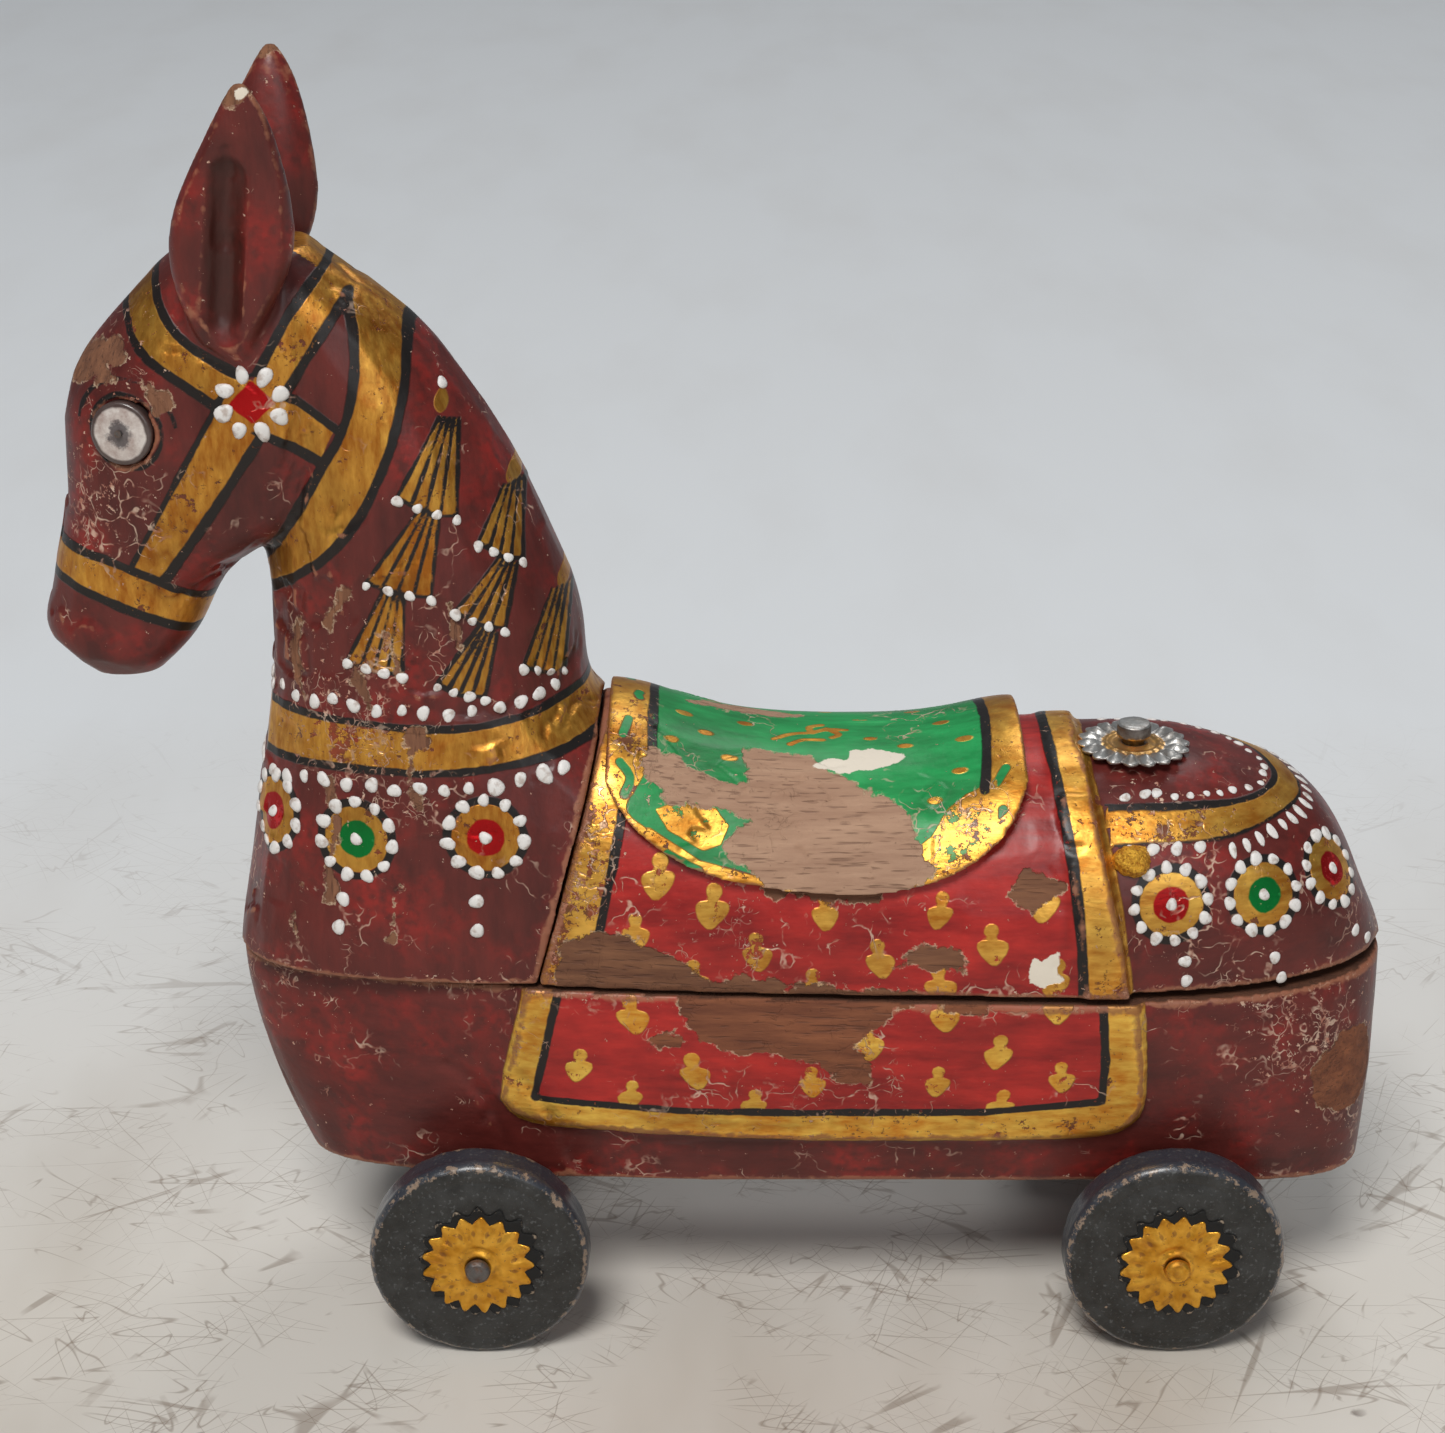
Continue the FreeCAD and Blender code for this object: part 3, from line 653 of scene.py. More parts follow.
# %% [markdown]
# ## Wear
#
# Paint wears where hands and edges meet it: on the nose and brow, along the seam, on the rims of the
# ears and at the foot of the box. Wear is stored as a number from 0 to 1, made from a few soft spots.
# Some larger flakes have gone down to the wood, and those have outlines of their own.

# %% Wear on the head
def spot(points, centre, radius):
    """1 at the centre and 0 at the radius."""
    return np.clip(1 - np.linalg.norm(points - np.array(centre), axis=1) / radius, 0, 1)


def sum_of_spots(points, spots):
    return np.clip(sum(share * spot(points, centre, radius) for centre, radius, share in spots), 0, 1)


def near_height(points, height, reach):
    return np.clip(1 - np.abs(points[:, 2] - height) / reach, 0, 1)


HEAD_WEAR = [((-122, -13, 178), 22, 1.0), ((-117, -12, 203), 14, 0.8), ((-128, 6, 150), 16, 0.7),
             ((-74, -24, 128), 22, 1.0), ((-66, -22, 150), 18, 0.7), ((-84, -18, 146), 16, 0.7),
             ((-60, -27, 118), 16, 0.5), ((-95, -12, 96), 16, 0.5), ((-120, 14, 176), 20, 0.9),
             ((-70, 24, 130), 22, 0.8), ((-92, 19, 254), 9, 0.5), ((-92, -19, 254), 9, 0.5)]
BROW_FLAKES = [[(-132, 199), (-125, 203.5), (-119.2, 207.2), (-114.5, 208), (-114, 205.5),
                (-117.4, 203.2), (-116, 201.3), (-120.2, 199.5), (-126, 198)], [(-111.5, 203),
                                                                                (-108.6, 201.5),
                                                                                (-105.5, 200.4),
                                                                                (-103.4, 198.6),
                                                                                (-105.0, 195.5),
                                                                                (-108.6, 194.6),
                                                                                (-109.6, 198)]]
for outline in BROW_FLAKES:
    paint_head.lay("bare", area(side, outline) + np.where(head.points[:, 1] < 0, 0.4, FAR))
paint_head.lay("bare", ball(head.points, (-61, -24, 131.5), 2.6))
for turn in (-1, 1):
    paint_head.lay("bare", ball(head.points, (-89.5, 20.4 * turn, 257.5), 3.4))
    paint_head.lay("gesso", ball(head.points, (-88.0, 21.0 * turn, 256.5), 1.2))
# The gouge down each ear is marked for a dark brown tint, which is painted shade.
paint_head.lay("dark", np.where((side[:, 1] > EAR_LOW_Z) & (np.abs(head.points[:, 1]) > 15),
                                from_gouge(head.points) - 3.4, FAR))
NECK_CRACKS = [[(-79, 121), (-77, 113), (-80, 104), (-79, 97)], [(-86, 99), (-87.5, 92), (-86, 84)],
               [(-67, 152), (-64, 146), (-66, 140)], [(-73, 145), (-70, 137)], [(-62, 130),
                                                                                (-63, 121),
                                                                                (-60, 115)],
               [(-84, 152), (-86, 143), (-84, 137)], [(-54, 158), (-52, 148)], [(-66, 100),
                                                                                (-67, 90)],
               [(-74, 160), (-78, 153)]]
for line in NECK_CRACKS:
    paint_head.lay("bare", stroke(side, line, 0.7) + np.where(head.points[:, 1] < 0, 0, 1.2))
head_wear = np.maximum(sum_of_spots(head.points, HEAD_WEAR), 0.7 * near_height(head.points, 81, 3.5))
head_raw = (head.normals()[:, 2] < -0.75) & (head.points[:, 2] < 82)
JOINT = [(-22.6, 140), (-24.2, 134), (-38.3, 80)]
by_joint = np.clip(1 - stroke(side, JOINT, 0, 0) / 2.6, 0, 1)
paint_head.keep(head_wear, head_raw, 0.8 * by_joint)

# %% [markdown]
# ## Blanket, strap and rump
#
# The blanket is crimson with gilded buds and a gilded front border. Behind it a gilded strap crosses the
# back. On the rump a gilded band turns round the pivot nail like a horseshoe, with flowers below it.
# The horseshoe is drawn from above, as x and y.

# %% Blanket on the lid
BLANKET_INNER = [(-16.5, 142), (-17.8, 132), (-21.4, 112.9), (-25.5, 94.3), (-27.9, 79)]
STRAP_FRONT = [(62.5, 140), (64.0, 125), (65.8, 117.7), (68.7, 101.1), (70.6, 79)]
STRAP_REAR = [(70.5, 140), (71.6, 125), (74.4, 113.8), (77.6, 99.9), (80.8, 79)]
LID_BUDS = [(-3.3, 97.9), (5.6, 88.9), (19, 97.3), (29.9, 87.9), (41.6, 97.7), (52.1, 91.1),
            (62.2, 99.7), (-14, 103.5), (-18.5, 92.5), (-6.5, 82.5), (17, 81.5), (42, 82.5),
            (64.5, 84)]


def bud(paint, x, z, size, lean):
    """A small gilded bud: a round head over a heart that points down."""
    for dz, radius in ((3.3, 1.5), (1.9, 1.0)):
        centre = (x + size * lean * dz, z + size * dz)
        paint.lay("gold", np.hypot(*(paint.side - centre).T) - radius * size)
    heart = [(-3.3, 0.5), (-2.0, 1.6), (2.0, 1.6), (3.3, 0.5), (2.2, -2.0), (0, -4.3), (-2.2, -2.0)]
    leaning = [(x + size * (dx + lean * dz), z + size * dz) for dx, dz in heart]
    paint.lay("gold", area(paint.side, leaning, 1))


paint_back = Paint(back)
side = paint_back.side
rng = np.random.default_rng(5)
FRONT_EDGE = [(-10, 145), (-24.2, 134), (-38.3, 80), (-42, 70)]
paint_back.lay("crimson", band(side, BLANKET_INNER, STRAP_FRONT, 1))
paint_back.lay("gold", band(side, FRONT_EDGE, BLANKET_INNER, 1))
paint_back.lay("gold", band(side, STRAP_FRONT, STRAP_REAR, 1))
paint_back.lay("black", stroke(side, BLANKET_INNER, LINE))
paint_back.lay("black", stroke(side, STRAP_FRONT, 2.2))
for x, z in LID_BUDS:
    bud(paint_back, x, z, rng.uniform(0.85, 1.1), rng.uniform(-0.2, 0.2))

# %% Horseshoe and flowers on the rump
SHOE_OUTER = [(60, -27.5), (75.2, -26.7), (93.2, -25.6), (104, -21.5), (112.6, -14.5), (117.5, -5),
              (113.5, 6), (105, 14.5), (93, 18), (75, 19), (60, 19)]
SHOE_INNER = [(60, -21.5), (74.7, -21.2), (89.6, -20.9), (99, -18.3), (106.7, -14.2), (110.8, -8),
              (111.2, -3), (108, 5), (101, 10.5), (90, 13), (75, 13.5), (60, 13.5)]
RUMP_FLOWERS = [((87.5, -31.5, 98.7), "scarlet"), ((106.5, -27.5, 98.9), "leafgreen"),
                ((121.8, -17.9, 100.2), "scarlet")]
plan = back.points[:, :2]
strap_heights, strap_places = np.array(STRAP_REAR[::-1])[:, ::-1].T
past_strap = side[:, 0] - np.interp(side[:, 1], strap_heights, strap_places)
behind_strap = np.where((back.points[:, 2] > 96) & (past_strap > 0.6), 0.0, FAR)
paint_back.lay("gold", band(plan, SHOE_OUTER, SHOE_INNER) + behind_strap)
for edge, width in ((SHOE_OUTER, 0.5), (SHOE_INNER, 1.3)):
    paint_back.lay("black", stroke(plan, edge, width) + behind_strap)
for centre, colour in RUMP_FLOWERS:
    flower(paint_back, centre, colour, 6.6, 3.6)

# %% Wear on the lid
LID_FLAKES = [[(-34, 78), (-32.5, 89.8), (-27.5, 92.2), (-20.6, 92.6), (-14, 90), (-9, 86), (-4, 83),
               (4, 84.5), (10, 82.6), (12, 78)], [(6, 104), (8, 100.5), (17, 100), (24, 98.6),
                                                  (29, 101), (29, 105)], [(10, 78), (14, 83),
                                                                          (24, 82.4), (38, 80.9),
                                                                          (44, 78)], [(54, 101),
                                                                                      (58, 106),
                                                                                      (66, 103),
                                                                                      (60, 98)],
              [(33, 86.5), (38, 92), (46, 90.5), (47, 86)]]
for outline in LID_FLAKES:
    paint_back.lay("bare", area(side, outline) + np.where(back.points[:, 1] < 0, 0, 18))
FAR_SIDE_FLAKE = [(20, 78), (26, 92), (40, 88), (44, 78)]
paint_back.lay("bare", area(side, FAR_SIDE_FLAKE) + np.where(plan[:, 1] > 0, 0, FAR))
GESSO_CHIP = [(59.5, 83.5), (62.5, 82.2), (65.8, 84.2), (64.6, 86.6), (65.2, 89.8), (61.8, 88.2),
              (60.4, 90.0), (59, 86.5)]
paint_back.lay("gesso", area(side, GESSO_CHIP) + np.where(back.points[:, 1] < 0, 0, FAR))
LID_WEAR = [((0, -34, 92), 30, 0.5), ((-32, -30, 102), 16, 1.0), ((-28, -26, 116), 12, 1.0),
            ((-35, -32, 86), 12, 1.0), ((95, -28, 104), 30, 0.45),
            ((128, -8, 92), 18, 0.5), ((84, -24, 116), 14, 0.8), ((30, 34, 95), 30, 0.6)]
lid_wear = np.maximum(sum_of_spots(back.points, LID_WEAR), 0.7 * near_height(back.points, 81, 3.0))
lid_raw = (back.normals()[:, 2] < -0.75) & (back.points[:, 2] < 82)
paint_back.keep(lid_wear, lid_raw)

# %% [markdown]
# ## The box's panel
#
# The lower part of the blanket is carved on the box in low relief, with a wide gilded border inside a
# thin black line. Inside the wells, and where the lid lies on it, the box is bare wood.

# %% Panel on the box
PANEL = [(-41.2, 84), (-41.0, 80), (-47.3, 54.1), (-44.4, 49.2), (-38.8, 47.2), (-20, 45.6),
         (14.6, 44.2), (67.6, 44.8), (78.4, 46.0), (83.2, 49.3), (84.8, 54), (84.2, 66), (82.4, 84)]
FIELD = [(-33.8, 84), (-34.2, 79), (-39.6, 54.6), (-10, 52.6), (14.6, 52.2), (50, 52.6),
         (75.6, 55.4), (75.6, 66), (73.9, 84)]
BOX_BUDS = [(-30.4, 62.4), (-19.2, 74.3), (-6.8, 61.5), (5.8, 73.5), (16.8, 59.5), (27.9, 69.3),
            (42, 59.7), (54, 67.1), (67.1, 61), (65.4, 78.2), (43, 76), (-20, 55.6), (5, 53.8),
            (55, 54)]
paint_box = Paint(base)
side = paint_box.side
on_side = np.where(np.abs(base.points[:, 1]) > 22, 0.0, FAR)
paint_box.lay("gold", area(side, PANEL, 1) + on_side)
paint_box.lay("crimson", area(side, FIELD) + on_side)
paint_box.clear("gold", area(side, FIELD))
paint_box.lay("black", stroke(side, FIELD, 1.7, 0) + on_side)
for x, z in BOX_BUDS:
    bud(paint_box, x, z, rng.uniform(0.85, 1.1), rng.uniform(-0.2, 0.2))
BOX_FLAKES = [[(-11, 82), (-9.1, 76), (-5.8, 69.8), (2.3, 65.6), (10, 66.8), (18.3, 64.4), (23, 60),
               (29.2, 58.2), (29, 64), (25, 69), (29.5, 73), (35, 77.5), (38, 82)], [(41, 82),
                                                                                     (43, 76.2),
                                                                                     (52, 76.2),
                                                                                     (54, 82)],
              [(-18, 69), (-13, 71.5), (-9, 69), (-14, 66.5)]]
for outline in BOX_FLAKES:
    paint_box.lay("bare", area(side, outline) + np.where(base.points[:, 1] < 0, 0, FAR))
paint_box.lay("bare", ball(base.points, (126.5, -23.5, 57), 9.5))
paint_box.lay("bare", area(side, [(30, 82), (34, 66), (50, 60), (60, 70), (58, 82)])
              + np.where(base.points[:, 1] > 0, 0, FAR))

# %% Wear and bare wood on the box
# Each well with a little of the wood round it: its front and rear x, and half its width.
WELLS = [(-86.5, -51.0, 17.5), (-51.0, -10.0, 23.5), (-10.0, 31.0, 25.0)]
WELL_FLOOR_Z, RIM_Z = 43, 76
rim_faces = (base.normals()[:, 2] > 0.8) & (base.points[:, 2] > RIM_Z)
deep = np.zeros(base.count, bool)
for front, rear, half_width in WELLS:
    deep |= ((np.abs(base.points[:, 1]) < half_width) & (base.points[:, 2] > WELL_FLOOR_Z)
             & (base.points[:, 0] > front) & (base.points[:, 0] < rear))
BOX_WEAR = [((125, -22, 60), 24, 1.0), ((110, -28, 74), 20, 0.8), ((-90, -18, 74), 22, 0.6),
            ((-45, -32, 66), 12, 0.5), ((20, -33, 66), 34, 0.5), ((126, 20, 60), 24, 0.8),
            ((40, 34, 66), 30, 0.6)]
box_wear = np.maximum(sum_of_spots(base.points, BOX_WEAR), 0.7 * near_height(base.points, 79, 3.0))
box_wear = np.maximum(box_wear, 0.5 * near_height(base.points, 33, 4.0))
paint_box.keep(box_wear, rim_faces | deep)

# %% [markdown]
# ## The saddle
#
# The saddle wraps over the back, so a drawing from the side would stretch on its top. It is unrolled
# instead: x along the horse, and the way round the back from the ridge, in degrees.

# %% Saddle
WRAP_CENTRE_Z, WRAP_RADIUS = 88.0, 38.0
DEGREE = WRAP_RADIUS * math.pi / 180
paint_seat = Paint(seat)
around = np.arctan2(-seat.points[:, 1], seat.points[:, 2] - WRAP_CENTRE_Z) * WRAP_RADIUS
near_side = np.stack([seat.points[:, 0], around], 1)
both_sides = np.stack([seat.points[:, 0], np.abs(around)], 1)


def unrolled(outline):
    return [(x, degrees * DEGREE) for x, degrees in outline]


GREEN_FIELD = unrolled([(-15.2, -30), (-15.2, 27), (-19.5, 40.2), (-17.4, 45.5), (-5.7, 56.8),
                        (8, 62.6), (24, 65), (39.4, 61.5), (44, 55), (49, 44), (51, 36), (51.5, 30),
                        (52.7, -30)])
LEAF_PATCHES = [[(-14.5, 42), (-9, 38.5), (-2.5, 41), (0, 46), (-1.5, 52), (-5, 54), (-12, 48)],
                [(35.5, 55), (40, 49), (43, 41), (47, 36), (53, 32), (53, 50), (42, 61), (37, 63)]]
SMEARS = [[(-20, 14), (-21, 20)], [(-21.5, 29), (-19, 33), (-20.5, 38)], [(-17, 37), (-20, 42),
                                                                          (-16, 46)], [(-19.5, -6),
                                                                                       (-18, 2)],
          [(55, 28), (53, 33)], [(54, 42), (50, 47)], [(48, 52), (43, 56)], [(41, 60), (36, 63)],
          [(-12, 55), (-6, 60)]]
SEAT_FLAKE = unrolled([(-18.8, 26.3), (-9.7, 24.5), (-2.5, 31.6), (4.2, 31.8), (2.9, 16.9),
                       (15.3, 19.3), (19.4, 24.4), (24.1, 30.5), (28.6, 33.3), (33.6, 39.7),
                       (37.2, 50.7), (39.5, 60), (36, 66), (23.4, 72), (8.1, 66), (3.2, 58.3),
                       (-1.5, 52.1), (4.6, 44.1), (-2.5, 39.7), (-11.2, 39.7), (-15.6, 33.7)])
SEAT_GESSO = unrolled([(17.5, 22.5), (21, 19), (24, 20.5), (24.8, 15), (29, 14), (35, 16.5),
                       (34, 21), (30, 24.5), (26, 24), (22, 26)])
paint_seat.lay("green", area(both_sides, GREEN_FIELD))
paint_seat.lay("gold", np.full(seat.count, -FAR))
for line in SMEARS:
    paint_seat.lay("green", stroke(both_sides, unrolled(line), 1.9))
paint_seat.clear("gold", paint_seat.colours["green"])
for patch in LEAF_PATCHES:
    paint_seat.lay("gold", area(both_sides, unrolled(patch)))
paint_seat.lay("bare", area(near_side, SEAT_FLAKE))
paint_seat.lay("bare", area(near_side, unrolled([(-8, -9), (14, -10), (18, -15), (4, -18), (-6, -16)])))
FAR_SEAT_FLAKE = unrolled([(-2, -50), (14, -42), (30, -52), (22, -64), (4, -62)])
paint_seat.lay("bare", area(near_side, FAR_SEAT_FLAKE))
paint_seat.lay("gesso", area(near_side, SEAT_GESSO))
for line in ([(-15.2, -30), (-15.2, 27)], [(52.7, -30), (51.8, 20), (50.6, 35.4)]):
    paint_seat.lay("black", stroke(both_sides, unrolled(line), 2.0))
LEAF_DABS = [(-11.5, 18), (-4.6, 11.5), (3.3, 0), (0.2, 21.6), (28.7, 6.6), (43.2, -2), (46, 27),
             (40.8, 37.6), (35.6, 12.2), (27.1, -9.5), (-9, 3), (12, -14), (20, -22), (38, -18),
             (-3, -20), (47.5, 12)]
for x, degrees in LEAF_DABS:
    offset = near_side - (x, degrees * DEGREE)
    paint_seat.lay("gold", np.hypot(offset[:, 0] / 1.7, offset[:, 1]) - 0.95)
SCROLL = [[(9, 9), (13, 4), (17, 3), (20, -1), (24, 0)], [(17, 3), (16, -2), (19, -4)],
          [(12.4, 11.6), (15, 8), (19, 8)], [(20, -1), (23, 4), (21, 6)]]
for line in SCROLL:
    paint_seat.lay("gold", stroke(near_side, unrolled(line), 1.2))
seat_wear = sum_of_spots(seat.points, [((-18, -20, 124), 16, 0.9), ((45, -28, 112), 16, 0.9),
                                       ((5, -24, 114), 20, 0.6), ((10, 26, 112), 24, 0.6)])
paint_seat.keep(seat_wear, np.zeros(seat.count))


# %% [markdown]
# ## The material of painted wood
#
# From the wood up there are gesso, a coat of lacquer, gold and black, and a satin varnish. The material
# stacks colours in the same order. Brush lines wobble because a little noise is added to each distance.
# Flakes take all coats away, show a cream edge of gesso and sit a little lower. Thin pale cracks wander
# over the worn places.

# %% Wood under the paint
OXBLOOD, DEEP_OXBLOOD, BRIGHT_RED = (105, 40, 35), (75, 28, 25), (138, 37, 32)


def bare_wood(wire, grain_along, pale, dark):
    """Brown wood with long streaks and short dark pores."""
    squeeze = [0.12 if axis == grain_along else 1.0 for axis in "xyz"]
    tighter = [0.10 if axis == grain_along else 1.0 for axis in "xyz"]
    streaks = cloud(wire, 2.6, 4, squeeze, 0.65)
    pores = ramp(wire, cloud(wire, 0.6, 1, tighter), 0.60, 0.70)
    colour = tint(wire, ramp(wire, streaks, 0.3, 0.7), rgb(*dark), rgb(*pale))
    return tint(wire, pores * 0.45, colour, rgb(84, 54, 42)), streaks, pores


# %% Painted wood
def painted_wood(name, grain_along, pale_wood, dark_wood, pale_leaf, dark_leaf):
    material, wire = new_material(name)
    slow, quick = cloud(wire, 9, 2), cloud(wire, 2.1, 2)
    wobble = (slow - 0.5) * 1.6 + (quick - 0.5) * 0.7
    wear, edge = field(wire, "wear"), field(wire, "edge")
    patch = cloud(wire, 17, 4, roughness=0.6)
    streaks = cloud(wire, 5, 4, [0.25 if axis == grain_along else 1.0 for axis in "xyz"], 0.65)

    lacquer = tint(wire, ramp(wire, streaks, 0.3, 0.7), rgb(*DEEP_OXBLOOD), rgb(*OXBLOOD))
    colour = tint(wire, ramp(wire, patch, 0.48, 0.66) * ramp(wire, quick, 0.3, 0.6), lacquer,
                  rgb(*BRIGHT_RED))
    crimson = tint(wire, ramp(wire, streaks, 0.35, 0.65), rgb(134, 24, 24), rgb(184, 42, 36))
    colour = tint(wire, inside(wire, field(wire, "crimson") + wobble * 0.4), colour, crimson)
    emerald = tint(wire, ramp(wire, streaks, 0.3, 0.7), rgb(14, 116, 56), rgb(34, 164, 88))
    green = inside(wire, field(wire, "green") + wobble * 0.6)
    colour = tint(wire, green, colour, emerald)

    clumps = ramp(wire, cloud(wire, 11, 3), 0.46, 0.62)
    speck = ramp(wire, cloud(wire, 1.3, 4, roughness=0.75) + wear * 0.06 + clumps * 0.07, 0.67, 0.71)
    rubbed = ramp(wire, cloud(wire, 4.5, 5, roughness=0.72) + wear * 0.12 + clumps * 0.05, 0.645, 0.675)
    gold = inside(wire, field(wire, "gold") + wobble * 0.5) * (1 - 0.7 * speck) * (1 - 0.9 * rubbed)
    brush = cloud(wire, 1.6, 3, (0.3, 0.3, 1) if grain_along == "x" else (1, 1, 0.3), 0.6)
    leaf_shade = ramp(wire, patch * 0.5 + brush * 0.5, 0.38, 0.62)
    leaf = tint(wire, leaf_shade, rgb(*dark_leaf), rgb(*pale_leaf))
    colour = tint(wire, gold, colour, leaf)
    black = inside(wire, field(wire, "black") + wobble * 0.55) * (1 - 0.7 * speck)
    colour = tint(wire, black, colour, rgb(24, 20, 19))
    gold = gold * (1 - black)
    colour = tint(wire, inside(wire, field(wire, "scarlet") + wobble * 0.9), colour, rgb(186, 20, 24))
    colour = tint(wire, inside(wire, field(wire, "leafgreen") + wobble * 0.9), colour, rgb(14, 138, 62))
    dirt = ramp(wire, cloud(wire, 26, 4, roughness=0.6) - edge * 0.20, 0.42, 0.62)
    colour = tint(wire, dirt * 0.25, colour, rgb(36, 18, 14))
    # Painted shade: the gouge down each ear is darkened.
    gouge_shade = ramp(wire, field(wire, "dark") + wobble * 0.8, 0.8, -0.8)
    colour = tint(wire, gouge_shade * 0.65, colour, rgb(52, 28, 22))

    drift = wire.node("TexNoise", {},
                      {"Vector": place_of(wire), "Scale": 160.0, "Detail": 2.0}, "Color")
    bent = wire.node("VectorMath", {"operation": "MULTIPLY_ADD"},
                     {0: drift, 1: (0.012,) * 3, 2: place_of(wire)})
    cells = wire.node("TexVoronoi", {"feature": "DISTANCE_TO_EDGE"}, {"Vector": bent, "Scale": 150.0})
    crazed = ramp(wire, cloud(wire, 14, 4) + wear * 0.20, 0.58, 0.68)
    crack = ramp(wire, cells, 0.042, 0.014) * crazed * ramp(wire, quick, 0.36, 0.50)
    fine = wire.node("TexVoronoi", {"feature": "DISTANCE_TO_EDGE"}, {"Vector": bent, "Scale": 330.0})
    fine = ramp(wire, fine, 0.05, 0.02) * ramp(wire, cloud(wire, 6, 3) + wear * 0.16, 0.67, 0.74)
    crack = wire.math("MAXIMUM", crack, fine)
    chips = ramp(wire, cloud(wire, 1.7, 3, roughness=0.75) + wear * 0.12 + edge * 0.08, 0.70, 0.73)
    rim = ramp(wire, edge + (quick - 0.5) * 1.1 + (patch - 0.5) * 0.8 + wear * 0.15, 0.62, 0.95)
    pale_under = tint(wire, ramp(wire, quick, 0.4, 0.6), rgb(184, 126, 106), rgb(220, 190, 168))
    colour = tint(wire, wire.math("MAXIMUM", crack * 0.8, chips) * 0.8, colour, pale_under)
    colour = tint(wire, rim * 0.75, colour, rgb(158, 104, 78))

    wood, streaks_wood, pores = bare_wood(wire, grain_along, pale_wood, dark_wood)
    torn = (cloud(wire, 7, 5, roughness=0.65) - 0.5) * 9.0
    flake_distance = field(wire, "bare") + torn
    lost = inside(wire, flake_distance, 0.2)
    edging = inside(wire, flake_distance - 0.30, 0.15) * ramp(wire, quick, 0.46, 0.56)
    plaster = inside(wire, field(wire, "gesso") + torn * 0.6)
    colour = tint(wire, edging * 0.8, colour, rgb(196, 168, 140))
    raw = field(wire, "raw")
    bare = wire.math("MAXIMUM", lost, raw)
    colour = tint(wire, bare, colour, tint(wire, raw * 0.7, wood, rgb(58, 40, 31)))
    colour = tint(wire, plaster, colour, rgb(222, 212, 196))
    gesso = wire.math("MAXIMUM", edging, plaster)

    shine = gold * (1 - gesso) * (1 - bare)
    dull = wire.math("MAXIMUM", wire.math("MAXIMUM", bare, gesso), chips)
    roughness = ramp(wire, streaks, 0.2, 0.8, 0.34, 0.50) + dull * 0.30 + rim * 0.15
    height = (shine + black) * 0.10 + quick * 0.10 + streaks * 0.12
    height = height - bare * 0.30 - crack * 0.10 - chips * 0.12
    height = height + bare * (streaks_wood * 0.20 - pores * 0.12) + shine * brush * 0.09
    finish_surface(wire, {"Base Color": colour, "Roughness": roughness, "Metallic": shine * 0.88,
                          "Coat Weight": (1 - dull) * 0.15, "Coat Roughness": 0.25,
                          "Specular IOR Level": 0.32, "Normal": relief(wire, height)})
    return material


# The gold is given lighter on the box and darker on the head than on the back and saddle: painted light
# and shade, for how light falls on the low box and on the upright neck.
red_box = painted_wood("red_lacquer_box", "x", pale_wood=(140, 86, 58), dark_wood=(98, 56, 40),
                       pale_leaf=(255, 212, 98), dark_leaf=(218, 140, 46))
red_back = painted_wood("red_lacquer_back", "x", pale_wood=(130, 88, 62), dark_wood=(92, 58, 42),
                        pale_leaf=(250, 196, 90), dark_leaf=(198, 126, 42))
red_head = painted_wood("red_lacquer_head", "z", pale_wood=(140, 96, 70), dark_wood=(96, 62, 46),
                        pale_leaf=(226, 168, 72), dark_leaf=(174, 104, 32))
saddle_paint = painted_wood("saddle_lacquer", "x", pale_wood=(176, 141, 116), dark_wood=(150, 115, 93),
                            pale_leaf=(247, 192, 84), dark_leaf=(196, 124, 38))
for skin, material in ((base, red_box), (back, red_back), (seat, saddle_paint), (head, red_head)):
    skin.mesh.materials.append(material)
print("painted wood nodes:", len(red_head.node_tree.nodes))

# %% [markdown]
# ## White dots
#
# The dots are drops of thick white paint, so they stand up and catch the light. Each is a flattened,
# slightly crooked drop set on the carved surface. Rays find the surface and its slope. Rows of dots
# follow a line on the surface at an even spacing, with a painter's small slips.


# %% Finding the surface
class Surface:
    """Finds points on a carved piece."""

    def __init__(self, skin):
        self.tree = BVHTree.FromObject(skin.obj, bpy.context.evaluated_depsgraph_get())

    def ray(self, start, direction):
        hit, normal, _, _ = self.tree.ray_cast(Vector(start) * MM, Vector(direction))
        return None if hit is None else (np.array(hit) / MM, np.array(normal))

    def nearest(self, point):
        hit, normal, _, _ = self.tree.find_nearest(Vector(point) * MM)
        return np.array(hit) / MM, np.array(normal)

    def ring(self, centre, radius, count, start=0.0):
        """Points on a circle drawn round a place on the surface."""
        centre, normal = self.nearest(centre)
        first = np.cross(normal, (0, 0, 1.0))
        first /= np.linalg.norm(first)
        second = np.cross(normal, first)
        found = []
        for turn in np.linspace(0, 2 * math.pi, count, endpoint=False) + start:
            spoke = first * math.cos(turn) + second * math.sin(turn)
            found.append(self.nearest(centre + radius * spoke))
        return found


def spaced(points, spacing):
    """Points at an even spacing along a line of surface points."""
    points = np.array(points)
    steps = np.linalg.norm(np.diff(points, axis=0), axis=1)
    travelled = np.concatenate([[0], np.cumsum(steps)])
    marks = np.arange(spacing / 2, travelled[-1], spacing)
    return np.stack([np.interp(marks, travelled, points[:, axis]) for axis in range(3)], 1)


